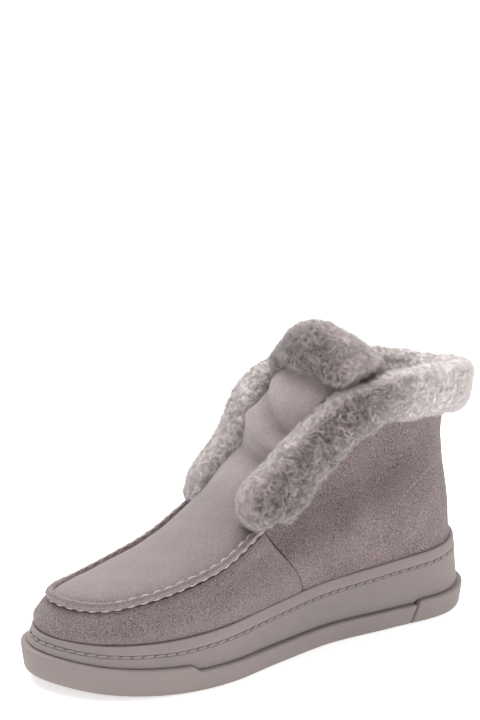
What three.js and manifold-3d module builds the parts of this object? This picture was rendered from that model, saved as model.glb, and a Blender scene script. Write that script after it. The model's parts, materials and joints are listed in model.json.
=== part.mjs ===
// Slip-on ankle boot for the left foot: a suede moccasin upper lined with sheepskin, whose pile
// is turned down outside as a cuff, on a wedge cup sole.
// Millimetres. The toe points to -Y, the outer side of the foot to +X, and the ground is Z = 0.

import * as THREE from 'three';
import { mergeVertices } from 'three/addons/utils/BufferGeometryUtils.js';
import Module from 'manifold-3d';

const wasm = await Module();
wasm.setup();

// ---- driving dimensions ----

const HALF_LENGTH = 137.5;      // half of the outsole's length
const TOE_SPRING = 6.2;         // how far the sole's tip stands off the ground
const SPRING_START = -57.5;     // where the tread begins to rise
const FORE_BAND = 15;           // visible height of the outsole's wall at the forefoot
const WAIST_BAND = 11.6;        // and under the arch
const HEEL_BAND = 13.5;         // and of the heel piece
const BAND_STEP = -68;          // where the forefoot's wall steps down
const BAND_STEP_HALF = 7;       // half of the length the step takes
const HEEL_SPLIT = 85;          // where the heel piece starts
const SPLIT_GAP = 1.6;
const SPLIT_SLANT = 0.35;       // slope of the split, along Y for each mm up
const HEEL_RAMP = [16, 5];      // how far before the split the waist's band turns into the heel's
const FORE_CORE = 6;            // thickness of the outsole inside its wall
const HEEL_CORE = 9;
const LIP_HEEL = 42.9;          // height of the cup's lip at the heel
const LIP_TOE = 25.7;           // and at the tip, before the toe spring
const LIP_SAG = 0.9;
const LIP_SPRING = 0.6;         // share of the toe spring that the lip follows
const LIP_INSET = 5.2;          // how far the lip stands in from the outsole's edge
const FEATHER_INSET = 8;        // where the upper enters the cup
const CUP_DEPTH = 10.9;
const SEAT_DEPTH = 6;           // how far the upper reaches into the cup
const TONGUE_TWIST = 0.15;      // how far the tongue's top turns to the outer side
const SUEDE = 1.4;
const FLEECE = 5;
const GAP = 0.3;
const SIDE_SEAM = 12;           // where the side seam meets the sole
const THREAD = 0.7;             // radius of the sewing thread
const THREAD_SIDES = 5;

// Edges of the sole as [inset, height]: of the outsole from the ground and from its band's top,
// of the cup from the band's top, and of the cup's lip from the lip's own inset and height.
const TREAD_EDGE = [[2.4, 0], [0.6, 1.8]];
const BAND_EDGE = [[-0.7, -2.2], [0.4, 0]];
const CUP_FOOT = [[5.5, 0.4], [3.2, 0.4], [2.6, 1.6]];
const CUP_LIP = [[-0.4, -3.4], [0, -0.8], [0.8, 0]];
const CORE_INSET = 5;
const LIP_FALL = 0.4;           // from the lip to the feather edge
const THREAD_DROP = 7;          // the most the row of stitches lies below the lip

// Sheets inside the cup: inset, bottom and top below the lip, and rounding of the upper edge.
const INSOLE_BOARD = [FEATHER_INSET + 0.5, 8.6, 6.7];
const FOOTBED_FOAM = [17.4, 6.3, 3.2];
const FOOTBED_FLEECE = [17.4, 2.8, -1.2, 1.5];
const SHANK = { middle: 1, width: 16, thick: 1.5, rows: [-12, 20, 55, 92] };
const FILLER = {
  middle: -3, thick: 1.2, lift: 0.2, rows: [-106, -90, -70, -45, -18], halves: [22, 29, 34, 33, 27],
};

// Outline of the outsole, from the middle of the heel along the outer side to the toe and back.
const OUTLINE = [
  [0, 137.5], [23, 129.5], [37, 107.5], [37, 67.5], [36, 27.5], [43, -12.5], [50, -47.5],
  [47, -82.5], [34, -112.5], [13, -131], [-8, -137.5], [-28.5, -129], [-41, -107.5],
  [-46.5, -77.5], [-46, -47.5], [-40, -12.5], [-34.5, 27.5], [-34.5, 67.5], [-33, 107.5],
  [-20, 129.5],
];

// The moccasin seam, from the outer end of the throat round the toe to the inner end.
const MOC_SEAM = [
  [37, -20.5, 76], [40, -45, 63], [37.5, -70, 55], [32, -90, 50], [22, -107.5, 46],
  [8, -119, 45.5], [-8, -122.5, 45.5], [-21.5, -115, 44.5], [-31, -97, 44], [-36, -72, 48],
  [-37.5, -45, 56], [-35.5, -19.5, 71.5],
];

// Top edges of the quarters, where the sheepskin turns over, from the throat to the heel.
const OUTER_COLLAR = [
  [36, -21, 80], [35, -23.5, 92], [34, -12, 104], [33.5, 4, 116], [33.5, 20, 128],
  [35, 35, 138], [38, 51, 144], [40.5, 68, 146], [41, 87, 145], [35, 107, 142], [20, 122.5, 137.5],
];
const INNER_COLLAR = [
  [-35.5, -20, 77], [-33, -13, 88], [-31, -2, 99], [-31, 8, 111], [-32, 15, 123],
  [-34, 23, 133], [-36, 35, 139.5], [-37.5, 51, 140.5], [-38, 68, 140], [-38, 87, 138.5],
  [-33, 107, 137], [-19, 122.5, 136],
];
const COLLAR_BACK = [0, 129, 135.5];

// Middle line of the tongue, from the throat up.
const TONGUE_LINE = [
  [0.5, -24.2, 86.4], [0.8, -12, 96], [1, -2, 108], [1.2, 6, 121], [1.5, 15.5, 136],
  [2.3, 28, 151.5], [3.2, 43, 165],
];

// Fullness of the walls: how far they stand out in the middle and lower down, at shares from the
// toe to the throat for the wrap, and from the side seam to the heel for the quarters.
const WRAP_FULL = [[0, 0.5, 1], [3.5, 5, 5]];
const WRAP_LOW = [[0, 0.5, 1], [1, 1.6, 2]];
const QUARTER_FULL = [[0, 0.25, 0.5, 0.8, 1], [5, 4, 1, -4, -8]];
const QUARTER_LOW = [[0, 0.3, 0.6, 1], [2, 2, 2, 3]];
const WRAP_TURN = 0.55;         // how much the wrap's top edge leans over the instep
const INSTEP_LEAN = [[0, 0.3, 0.7, 1], [-0.2, -0.3, -0.42, -0.5]];
const APRON_CROWN = [[0, 0.1, 0.3, 0.6, 1], [0, 4, 8, 9, 12]];
const APRON_FLATNESS = 2.2;     // the higher, the flatter the apron's middle
const APRON_START = 0.185;      // shares where the apron begins behind the toe
const WRAP_ROOM = 2.4;          // kept free for the moccasin seam, towards the wrap
const APRON_ROOM = 4.9;         // and towards the apron
const LINING_DEPTH = 3.7;
const LINING_SETBACK = 9;       // the quarter linings end this far below the suede's edge
const STIFFENER = [SUEDE + 0.5, LINING_DEPTH - 0.5];

// First and last share of the pieces that run from the side seam to the heel.
const QUARTER_ENDS = [0.004, 0.997];
const LINING_ENDS = [0.016, 0.994];
const CUFF_ENDS = [0.012, 0.997];

// The tongue, by its shares from the throat up: half width, and how far and how much to the back
// its sides fall away at SIDE_REACH from the middle.
const TONGUE_HALF = [[0, 0.25, 0.6, 1], [24, 22, 22.3, 26.5]];
const TONGUE_BACK = [[0, 0.3, 0.75, 1], [0.5, 0.75, 0.85, 0.6]];
const TONGUE_DROP = [[0, 0.3, 0.7, 1], [12, 14, 19, 33]];
const SIDE_REACH = 36;
const SIDE_FLATNESS = 2.1;
const SIDE_TURN = 0.55 / 30;    // sideways lean of the tongue's face for each mm from the middle
const TONGUE_ENDS = [0.035, 1];
const TONGUE_LINING_ENDS = [0.07, 0.93];
const TONGUE_LINING_WIDTH = 0.97;

// The seam's ridge in section, [towards the wrap, up], and where its two threads run.
const RIDGE_SECTION = [[-3.4, -0.5], [1.4, -0.6], [1.6, 2.2], [0.8, 3.2], [-2.6, 3.2], [-3.6, 2.2]];
const OUTER_THREAD = [2.9, 1.2];
const INNER_THREAD = [-4.9, 1.9];

// The heel counter's row of stitches: shares along the quarter and up it.
const COUNTER_BACK = [[0, 0.3, 0.7, 1], [0.31, 0.38, 0.6, 0.95]];
const COUNTER_RISE = [[0, 0.3, 0.7, 1], [0.08, 0.27, 0.45, 0.52]];

// Section of a turned-over cuff round the top edge of a quarter or of the tongue; the first
// number is outwards, the second up. Its slot takes the suede's edge.
const CUFF_SECTION = [
  [1.4, -19.5], [6.5, -21], [10.5, -16.5], [12, -8], [11, 0], [7, 5], [0, 6.5], [-6, 4.5],
  [-8.5, 0], [-8.5, -6], [-2.2, -6], [-2.2, 0.8], [0.8, 0.8], [0.9, -9],
];
const SLOT_FACE = 1.4;          // inside this the section belongs to the slot and keeps its size
const SLOT_TOP = 0.8;
const CUFF_TAPER = [[0, 0.03, 0.08, 1], [0.35, 0.75, 1, 1]];
const INNER_CUFF_THICKNESS = 0.8;   // of the outer cuff's

// ---- small tools ----

const vec = (point) => new THREE.Vector3(...point);
const mix = (a, b, t) => a + (b - a) * t;
const { clamp, smoothstep } = THREE.MathUtils;
const range = (count) => Array.from({ length: count + 1 }, (_, i) => i / count);

// A smooth curve of one variable through a table of places and values.
function through([places, values], x) {
  const last = places.length - 1;
  if (x <= places[0]) return values[0];
  if (x >= places[last]) return values[last];
  const slope = (i) => {
    const a = Math.max(i - 1, 0);
    const b = Math.min(i + 1, last);
    return (values[b] - values[a]) / (places[b] - places[a]);
  };
  let i = 0;
  while (x > places[i + 1]) i += 1;
  const span = places[i + 1] - places[i];
  const t = (x - places[i]) / span;
  const h = t * t * (3 - 2 * t);
  return values[i] * (1 - h) + values[i + 1] * h
    + span * (slope(i) * t * (1 - t) ** 2 - slope(i + 1) * t * t * (1 - t));
}

const curveThrough = (points, closed = false) => (
  new THREE.CatmullRomCurve3(points.map(vec), closed, 'catmullrom', 0.5));

// A closed solid from points and triangles; doubled points are merged and faces turned outwards.
function solid(points, triangles) {
  const flat = new Float32Array(points.length * 3);
  points.forEach((p, i) => p.toArray(flat, i * 3));
  let geometry = new THREE.BufferGeometry();
  geometry.setAttribute('position', new THREE.BufferAttribute(flat, 3));
  geometry.setIndex(triangles);
  geometry = mergeVertices(geometry, 1e-4);
  const index = Array.from(geometry.index.array);
  const kept = [];
  const place = geometry.attributes.position;
  const [a, b, c] = [new THREE.Vector3(), new THREE.Vector3(), new THREE.Vector3()];
  let volume = 0;
  for (let i = 0; i < index.length; i += 3) {
    const [i0, i1, i2] = index.slice(i, i + 3);
    if (i0 !== i1 && i1 !== i2 && i2 !== i0) {
      kept.push(i0, i1, i2);
      a.fromBufferAttribute(place, i0);
      b.fromBufferAttribute(place, i1);
      c.fromBufferAttribute(place, i2);
      volume += a.dot(b.cross(c));
    }
  }
  geometry.setIndex(volume < 0 ? kept.reverse() : kept);
  geometry.computeVertexNormals();
  return geometry;
}

// Joins closed rings of points; the two ends are closed straight across, rung by rung.
function loft(rings) {
  const count = rings[0].length;
  const triangles = [];
  for (let r = 0; r + 1 < rings.length; r += 1) {
    for (let i = 0; i < count; i += 1) {
      const a = r * count + i;
      const b = r * count + (i + 1) % count;
      triangles.push(a, b, a + count, b, b + count, a + count);
    }
  }
  const half = count / 2;
  const top = (rings.length - 1) * count;
  for (let i = 0; i < half; i += 1) {
    const [a, b, c, d] = [i, i + 1, (count - i) % count, count - i - 1];
    triangles.push(c, b, a, c, d, b);
    triangles.push(top + a, top + b, top + c, top + b, top + d, top + c);
  }
  return solid(rings.flat(), triangles);
}

// Closes the space between two facing grids of points. With seamed, the first row is folded
// on itself and needs no edge.
function between(outer, inner, seamed = false) {
  const rows = outer.length;
  const columns = outer[0].length;
  const layer = rows * columns;
  const triangles = [];
  const quad = (a, b, c, d) => triangles.push(a, b, c, a, c, d);
  for (let r = 0; r + 1 < rows; r += 1) {
    for (let k = 0; k + 1 < columns; k += 1) {
      const a = r * columns + k;
      quad(a, a + 1, a + columns + 1, a + columns);
      quad(layer + a, layer + a + columns, layer + a + columns + 1, layer + a + 1);
    }
    const first = r * columns;
    const last = first + columns - 1;
    quad(first, first + columns, layer + first + columns, layer + first);
    quad(last, layer + last, layer + last + columns, last + columns);
  }
  for (let k = 0; k + 1 < columns; k += 1) {
    const end = (rows - 1) * columns + k;
    if (!seamed) quad(k, layer + k, layer + k + 1, k + 1);
    quad(end, end + 1, layer + end + 1, layer + end);
  }
  return solid([...outer.flat(), ...inner.flat()], triangles);
}

// A grid of points from a surface function of two shares.
const grid = (us, vs, surface) => us.map((u) => vs.map((v) => surface(u, v)));

// The wall of a surface between two depths below it.
function wall(us, vs, surface, from, to) {
  const layer = (depth) => grid(us, vs, (u, v) => surface(u, v, depth));
  return between(layer(from), layer(to));
}

// A solid swept through stations, each with a place and two directions of its section.
function sweep(stations, section, closed = false) {
  const rings = stations.map(({ at, out, up }) => section.map(([a, b]) => (
    at.clone().addScaledVector(out, a).addScaledVector(up, b))));
  return sweepRings(rings, section, closed);
}

// Joins rings that all have the shape of one flat section.
function sweepRings(rings, section, closed = false) {
  const count = section.length;
  const triangles = [];
  const total = rings.length;
  for (let r = 0; r < (closed ? total : total - 1); r += 1) {
    const next = ((r + 1) % total) * count;
    for (let i = 0; i < count; i += 1) {
      const a = r * count + i;
      const b = r * count + (i + 1) % count;
      const c = next + i;
      const d = next + (i + 1) % count;
      triangles.push(a, b, c, b, d, c);
    }
  }
  const points = rings.flat();
  if (!closed) {
    const shape = section.map(([a, b]) => new THREE.Vector2(a, b));
    const last = (total - 1) * count;
    for (const [a, b, c] of THREE.ShapeUtils.triangulateShape(shape, [])) {
      triangles.push(c, b, a, last + a, last + b, last + c);
    }
  }
  return solid(points, triangles);
}

const round = (radius, sides) => range(sides).slice(0, -1).map((t) => (
  [radius * Math.cos(2 * Math.PI * t), radius * Math.sin(2 * Math.PI * t)]));

function toManifold(geometry) {
  const mesh = new wasm.Mesh({
    numProp: 3,
    vertProperties: Float32Array.from(geometry.attributes.position.array),
    triVerts: Uint32Array.from(geometry.index.array),
  });
  return new wasm.Manifold(mesh);
}

function fromManifold(body) {
  const mesh = body.getMesh();
  const geometry = new THREE.BufferGeometry();
  geometry.setAttribute('position', new THREE.BufferAttribute(mesh.vertProperties, 3));
  geometry.setIndex(new THREE.BufferAttribute(mesh.triVerts, 1));
  geometry.computeVertexNormals();
  return geometry;
}

// ---- the sole's outline and heights ----

const outlineCurve = curveThrough(OUTLINE.map(([x, y]) => [x, y, 0]), true);

// A point of the outline at a share of the way round, with its outward direction.
function edge(t, inset = 0) {
  const at = outlineCurve.getPoint(((t % 1) + 1) % 1);
  const along = outlineCurve.getTangent(((t % 1) + 1) % 1);
  const out = new THREE.Vector3(-along.y, along.x, 0).normalize();
  if (out.dot(at) < 0) out.negate();
  return { at: at.addScaledVector(out, -inset), out };
}

function toeRise(y) {
  const share = Math.max(0, SPRING_START - y) / (SPRING_START + HALF_LENGTH);
  return TOE_SPRING * share ** 2;
}

function lipHeight(y) {
  const u = (HALF_LENGTH - y) / (2 * HALF_LENGTH);
  return mix(LIP_HEEL, LIP_TOE, u) - LIP_SAG * 4 * u * (1 - u) + LIP_SPRING * toeRise(y);
}

// Tops of the outsole's band and core in front of the split, and of what the cup stands on.
function foreBand(y) {
  const step = smoothstep(y, BAND_STEP - BAND_STEP_HALF, BAND_STEP + BAND_STEP_HALF);
  return toeRise(y) + mix(FORE_BAND, WAIST_BAND, step);
}

const foreCore = (y) => FORE_CORE + toeRise(y);
const heelShare = (y) => smoothstep(y, HEEL_SPLIT - HEEL_RAMP[0], HEEL_SPLIT - HEEL_RAMP[1]);
const seatBand = (y) => mix(foreBand(y), HEEL_BAND, heelShare(y));
const seatCore = (y) => mix(foreCore(y), HEEL_CORE, heelShare(y));

const SOLE_POINTS = 64;

// One ring round the sole at an inset, its height given as a function of y.
const soleRing = (inset, height) => range(SOLE_POINTS).slice(0, -1).map((t) => {
  const { at } = edge(t, inset);
  return at.setZ(height(at.y));
});

// ---- sole pieces ----

function outsoleBlock(band, core) {
  return loft([
    ...TREAD_EDGE.map(([inset, up]) => soleRing(inset, (y) => toeRise(y) + up)),
    ...BAND_EDGE.map(([inset, up]) => soleRing(inset, (y) => band(y) + up)),
    soleRing(CORE_INSET, band),
    soleRing(CORE_INSET, core),
  ]);
}

// Cuts the block at the slanted split and keeps the part on one side: 1 for the heel.
function splitSole(block, side) {
  const size = 3 * HALF_LENGTH;
  const knife = new THREE.BoxGeometry(size, size, size);
  knife.applyMatrix4(new THREE.Matrix4().makeTranslation(0, -side * (size / 2 - SPLIT_GAP / 2), 0));
  knife.applyMatrix4(new THREE.Matrix4().makeRotationX(-Math.atan(SPLIT_SLANT)));
  knife.applyMatrix4(new THREE.Matrix4().makeTranslation(0, HEEL_SPLIT - 2.5, 0));
  knife.deleteAttribute('normal');
  knife.deleteAttribute('uv');
  return fromManifold(toManifold(block).subtract(toManifold(mergeVertices(knife))));
}

function midsole() {
  const [[plugInset, clearance]] = CUP_FOOT;
  return loft([
    soleRing(plugInset, (y) => seatCore(y) + clearance),
    ...CUP_FOOT.map(([inset, up]) => soleRing(inset, (y) => seatBand(y) + up)),
    ...CUP_LIP.map(([inset, up]) => soleRing(LIP_INSET + inset, (y) => lipHeight(y) + up)),
    soleRing(FEATHER_INSET - GAP, (y) => lipHeight(y) - LIP_FALL),
    soleRing(FEATHER_INSET - GAP, (y) => lipHeight(y) - CUP_DEPTH),
  ]);
}

// A sheet that covers the sole between two heights below the lip.
function soleSheet(inset, bottom, top, edgeRound = 0) {
  return loft([
    soleRing(inset, (y) => lipHeight(y) - bottom),
    soleRing(inset, (y) => lipHeight(y) - top - edgeRound),
    soleRing(inset + 1.5 * edgeRound, (y) => lipHeight(y) - top),
  ]);
}

// The row of thread round the sole's wall, halfway down where the wall is low.
function soleThread() {
  const [wallTop, wallFoot] = [CUP_LIP[0], CUP_FOOT[2]];
  const stations = range(SOLE_POINTS).slice(0, -1).map((t) => {
    const y = edge(t).at.y;
    const height = lipHeight(y) - seatBand(y);
    const drop = Math.min(THREAD_DROP, height / 2);
    const share = (drop + wallTop[1]) / (height + wallTop[1] - wallFoot[1]);
    const { at, out } = edge(t, mix(LIP_INSET + wallTop[0], wallFoot[0], share) - THREAD - GAP);
    return { at: at.setZ(lipHeight(y) - drop), out, up: new THREE.Vector3(0, 0, 1) };
  });
  return sweep(stations, round(THREAD, THREAD_SIDES), true);
}

// A strip along the waist of the sole on the cup's floor.
function shank() {
  const { middle, width, thick, rows } = SHANK;
  const face = (lift) => rows.map((y) => [-1, 1].map((side) => (
    new THREE.Vector3(middle + side * width / 2, y, lipHeight(y) - CUP_DEPTH + GAP + lift))));
  return between(face(thick), face(0));
}

// Cork that levels the cup's floor in front of the shank.
function filler() {
  const { middle, thick, lift, rows, halves } = FILLER;
  const face = (raised) => rows.map((y, i) => [-1, -0.5, 0, 0.5, 1].map((side) => (
    new THREE.Vector3(middle + side * halves[i], y, lipHeight(y) - CUP_DEPTH + GAP + raised))));
  return between(face(lift + thick), face(lift));
}

// ---- surfaces of the upper ----

// Finds where the outline passes the side seam on one half of it.
function seamShare(low, high) {
  const rising = edge(high, FEATHER_INSET).at.y > edge(low, FEATHER_INSET).at.y;
  for (let i = 0; i < 40; i += 1) {
    const middle = (low + high) / 2;
    const above = edge(middle, FEATHER_INSET).at.y > SIDE_SEAM;
    if (above === rising) high = middle;
    else low = middle;
  }
  return low;
}

const OUTER_SEAM = seamShare(0, 0.5);
const INNER_SEAM = seamShare(0.5, 1);

const mocCurve = curveThrough(MOC_SEAM);
const collarCurve = (near, far) => (
  curveThrough([...near, COLLAR_BACK, ...far.slice(-2).reverse()]));
const outerCollar = collarCurve(OUTER_COLLAR, INNER_COLLAR);
const innerCollar = collarCurve(INNER_COLLAR, OUTER_COLLAR);
const tongueCurve = curveThrough(TONGUE_LINE);

// Upward direction of the instep at a share from the toe (0) to the throat (1).
function instepUp(s) {
  const lean = through(INSTEP_LEAN, s);
  return new THREE.Vector3(0, lean, Math.sqrt(1 - lean * lean));
}

// A bulging wall from the sole's lip (rise 0) to a top edge (1); below the lip, down to the
// seat in the cup (-1), it is upright.
function bulged(foot, top, out, rise, full, low) {
  if (rise < 0) return foot.clone().setZ(foot.z + rise * SEAT_DEPTH);
  const fullness = full * Math.sin(Math.PI * rise) + low * Math.sin(2 * Math.PI * rise);
  return foot.clone().lerp(top, rise).addScaledVector(out, fullness);
}

// The wrap round the forefoot: a from the outer side seam to the inner one, b from the sole up.
function wrapSurface(a, b, depth = 0) {
  const { at, out } = edge(mix(OUTER_SEAM, INNER_SEAM, a), FEATHER_INSET);
  at.z = lipHeight(at.y);
  const back = Math.abs(2 * a - 1);
  const [full, low] = [through(WRAP_FULL, back), through(WRAP_LOW, back)];
  const point = bulged(at, mocCurve.getPointAt(a), out, b, full, low);
  return point.addScaledVector(wrapNormal(a, b), -depth);
}

function wrapNormal(a, b) {
  const { out } = edge(mix(OUTER_SEAM, INNER_SEAM, a), FEATHER_INSET);
  const turn = b > 0 ? WRAP_TURN * b * b : 0;
  const up = instepUp(Math.abs(2 * a - 1));
  return out.multiplyScalar(1 - turn).addScaledVector(up, turn).normalize();
}

// The apron inside the moccasin seam: s from the toe to the throat, c from the inner side (-1)
// to the outer side (1).
function apronSurface(s, c, depth = 0) {
  const outer = mocCurve.getPointAt((1 - s) / 2);
  const inner = mocCurve.getPointAt((1 + s) / 2);
  const point = inner.clone().lerp(outer, (1 + c) / 2);
  point.addScaledVector(instepUp(s), through(APRON_CROWN, s) * (1 - Math.abs(c) ** APRON_FLATNESS));
  const rim = wrapNormal(c > 0 ? (1 - s) / 2 : (1 + s) / 2, 1);
  const tilt = mix(1, Math.abs(c) ** 1.5, smoothstep(s, 0, 0.15));
  const normal = instepUp(s).multiplyScalar(1 - tilt).addScaledVector(rim, tilt).normalize();
  return point.addScaledVector(normal, -depth);
}

// Directions along the moccasin seam: away from the surface, and across it towards the wrap.
function mocFrame(a) {
  const along = mocCurve.getTangentAt(a);
  const normal = wrapNormal(a, 1);
  const across = new THREE.Vector3().crossVectors(along, normal).normalize();
  if (across.dot(edge(mix(OUTER_SEAM, INNER_SEAM, a)).out) < 0) across.negate();
  const up = new THREE.Vector3().crossVectors(across, along).normalize();
  if (up.z < 0) up.negate();
  return { across, up };
}

// Where the surfaces are sampled; every layer uses the same places, so they never cross.
const UP = [-1, 0, 0.16, 0.33, 0.5, 0.67, 0.84, 1];
const ACROSS = [1, 0.8, 0.55, 0.28, 0, -0.28, -0.55, -0.8, -1];
const TOWARDS_THROAT = [0, 0.12, 0.19, 0.26, 0.34, 0.43, 0.52, 0.62, 0.72, 0.82, 0.91, 0.985];
const ALONG_QUARTER = range(16);
const TONGUE_ACROSS = range(8).map((c) => 2 * c - 1);

// A section of the forefoot's dome, from the outer feather edge over the instep to the inner one.
function domeRow(s, depth) {
  return [
    ...UP.map((b) => wrapSurface((1 - s) / 2, b, depth)),
    ...ACROSS.slice(1, -1).map((c) => apronSurface(s, c, depth)),
    ...UP.map((b) => wrapSurface((1 + s) / 2, b, depth)).reverse(),
  ];
}

// Each collar curve runs on past the heel a little, so that both meet square at the back.
function backShare(curve) {
  let share = 0;
  while (curve.getPointAt(share).distanceTo(vec(COLLAR_BACK)) > 0.3) share += 0.0005;
  return share;
}

const OUTER_BACK = backShare(outerCollar);
const INNER_BACK = backShare(innerCollar);

const collarPoint = (side, a) => (
  side > 0 ? outerCollar.getPointAt(a * OUTER_BACK) : innerCollar.getPointAt(a * INNER_BACK));

// A quarter: side 1 is the outer one; a from the side seam to the back, b from the sole up.
function quarterSurface(side, a, b, depth = 0) {
  const seam = side > 0 ? OUTER_SEAM : INNER_SEAM;
  const { at, out } = edge(mix(seam, side > 0 ? 0 : 1, a), FEATHER_INSET);
  at.z = lipHeight(at.y);
  const [full, low] = [through(QUARTER_FULL, a), through(QUARTER_LOW, a)];
  return bulged(at, collarPoint(side, a), out, b, full, low).addScaledVector(out, -depth);
}

// The tongue: t from the throat up, x in millimetres from its middle line.
function tongueSurface(t, x, depth = 0) {
  const at = tongueCurve.getPoint(t);
  const back = through(TONGUE_BACK, t);
  const fall = through(TONGUE_DROP, t) * (Math.abs(x) / SIDE_REACH) ** SIDE_FLATNESS;
  at.x += x;
  at.y += TONGUE_TWIST * t * t * x;
  at.addScaledVector(new THREE.Vector3(0, back, -Math.sqrt(1 - back * back)), fall);
  return at.addScaledVector(tongueNormal(t, x), -depth);
}

// Outward direction of the tongue, to the front and a little to the side.
function tongueNormal(t, x) {
  const along = tongueCurve.getTangent(t);
  const normal = new THREE.Vector3(0, -along.z, along.y);
  return normal.add(new THREE.Vector3(SIDE_TURN * x, 0, 0)).normalize();
}

// ---- pieces of the upper ----

// The wrap comes nearer to the side seams than the lining under it.
function vampWrap() {
  const outerHalf = TOWARDS_THROAT.slice(1).map((s) => (1 - Math.min(s * 1.012, 0.995)) / 2);
  const along = [...[...outerHalf].reverse(), 0.5, ...outerHalf.map((a) => 1 - a)];
  const reach = (a) => 1 - WRAP_ROOM / wrapSurface(a, 0).distanceTo(wrapSurface(a, 1));
  const surface = (a, b, depth) => wrapSurface(a, b > 0 ? b * reach(a) : b, depth);
  return wall(along, UP, surface, 0, SUEDE);
}

function apron() {
  const reach = (s) => 1 - 2 * APRON_ROOM / apronSurface(s, 1).distanceTo(apronSurface(s, -1));
  const rows = [APRON_START, ...TOWARDS_THROAT.filter((s) => s > 1.2 * APRON_START)];
  return wall(rows, ACROSS, (s, c, depth) => apronSurface(s, c * reach(s), depth), 0, SUEDE);
}

function quarter(side) {
  const along = ALONG_QUARTER.map((a) => mix(...QUARTER_ENDS, a));
  return wall(along, UP, (a, b, depth) => quarterSurface(side, a, b, depth), 0, SUEDE);
}

// How a quarter's surface runs at its top edge: the direction square to the edge and down, and
// how much of the rise a millimetre that way takes.
function fromEdge(side, a) {
  const step = 0.01;
  const high = 0.97;
  const low = Math.max(a - step, 0);
  const top = Math.min(a + step, 1);
  const way = quarterSurface(side, top, 1).sub(quarterSurface(side, low, 1)).normalize();
  const rising = quarterSurface(side, a, 1).sub(quarterSurface(side, a, high)).divideScalar(1 - high);
  const square = rising.addScaledVector(way, -rising.dot(way));
  const db = -1 / square.length();
  return { down: square.negate().normalize(), db };
}

function quarterLining(side) {
  const along = ALONG_QUARTER.map((a) => mix(...LINING_ENDS, a));
  const reach = (a) => 1 + LINING_SETBACK * fromEdge(side, a).db;
  const surface = (a, b, depth) => quarterSurface(side, a, b > 0 ? b * reach(a) : b, depth);
  return wall(along, UP, surface, LINING_DEPTH, LINING_DEPTH + FLEECE);
}

function vampLining() {
  const layer = (depth) => TOWARDS_THROAT.map((s) => domeRow(s, depth));
  return between(layer(LINING_DEPTH), layer(LINING_DEPTH + FLEECE), true);
}

// Stiffeners between suede and lining: round the heel, and over the toes.
function heelCounter() {
  const back = ALONG_QUARTER.slice(8).map((a) => mix(...QUARTER_ENDS, a));
  const around = [...back.map((a) => [1, a]), ...back.map((a) => [-1, a]).reverse()];
  const surface = ([side, a], b, depth) => quarterSurface(side, a, b, depth);
  return wall(around, UP.slice(0, 5), surface, ...STIFFENER);
}

function toePuff() {
  const layer = (depth) => TOWARDS_THROAT.slice(0, 5).map((s) => domeRow(s, depth));
  return between(layer(STIFFENER[0]), layer(STIFFENER[1]), true);
}

// ---- seams ----

const MOC_STATIONS = range(54);

function mocPath(across, up) {
  return MOC_STATIONS.map((a) => {
    const frame = mocFrame(a);
    const at = mocCurve.getPointAt(a);
    at.addScaledVector(frame.across, across).addScaledVector(frame.up, up);
    return { at, out: frame.across, up: frame.up };
  });
}

// The two edges sewn together stand up as a ridge.
function mocRidge() {
  return sweep(mocPath(0, 0), RIDGE_SECTION);
}

const mocThread = (across, up) => sweep(mocPath(across, up), round(THREAD, THREAD_SIDES));

// A row of stitches on the quarter, from the sole up to the cuff, that holds the heel counter.
function counterThread(side) {
  const path = range(24).map((t) => {
    const [a, b] = [through(COUNTER_BACK, t), through(COUNTER_RISE, t)];
    return quarterSurface(side, a, b, -2 * THREAD);
  });
  return sweep(framed(path), round(THREAD, THREAD_SIDES));
}

// Directions for a path of points: outwards from the boot's middle, and square to the path.
function framed(path) {
  return path.map((at, i) => {
    const [before, after] = [path[Math.max(i - 1, 0)], path[Math.min(i + 1, path.length - 1)]];
    const along = after.clone().sub(before).normalize();
    const out = new THREE.Vector3(at.x, 0, 0).normalize();
    out.addScaledVector(along, -out.dot(along)).normalize();
    return { at, out, up: new THREE.Vector3().crossVectors(along, out) };
  });
}

// ---- sheepskin cuffs ----

// The shares at which a quarter's surface comes nearest to a point, from a first guess.
function nearest(side, target, a, b) {
  const step = 1e-3;
  for (let i = 0; i < 6; i += 1) {
    const at = quarterSurface(side, a, b);
    const alongA = quarterSurface(side, a - step, b).sub(at).divideScalar(-step);
    const alongB = quarterSurface(side, a, b - step).sub(at).divideScalar(-step);
    const miss = target.clone().sub(at);
    const [aa, ab, bb] = [alongA.dot(alongA), alongA.dot(alongB), alongB.dot(alongB)];
    const [ma, mb] = [miss.dot(alongA), miss.dot(alongB)];
    const scale = aa * bb - ab * ab;
    a = clamp(a + (ma * bb - mb * ab) / scale, ...QUARTER_ENDS);
    b = clamp(b + (mb * aa - ma * ab) / scale, 0.3, 1);
  }
  return [a, b];
}

// The cuff hangs on the quarter's edge and lies along its surface.
function cuff(side) {
  const thick = side > 0 ? 1 : INNER_CUFF_THICKNESS;
  const rings = range(32).map((t) => {
    const a = mix(...CUFF_ENDS, t);
    const { down } = fromEdge(side, a);
    const size = through(CUFF_TAPER, t);
    return CUFF_SECTION.map(([flat, upward]) => {
      const outward = flat > SLOT_FACE ? flat * thick : flat;
      if (upward > SLOT_TOP) {
        return quarterSurface(side, a, 1, -outward * size).addScaledVector(down, -upward * size);
      }
      const below = quarterSurface(side, a, 1).addScaledVector(down, Math.max(0, -upward * size));
      const [share, rise] = nearest(side, below, a, 0.98);
      const place = quarterSurface(side, share, rise, -outward * (outward > SLOT_FACE ? size : 1));
      return upward > 0 ? place.addScaledVector(down, -upward) : place;
    });
  });
  return sweepRings(rings, CUFF_SECTION);
}

// A place on the tongue at a share up and a share of its half width.
const tonguePlace = (t, c, depth) => tongueSurface(t, c * through(TONGUE_HALF, t), depth);

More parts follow.
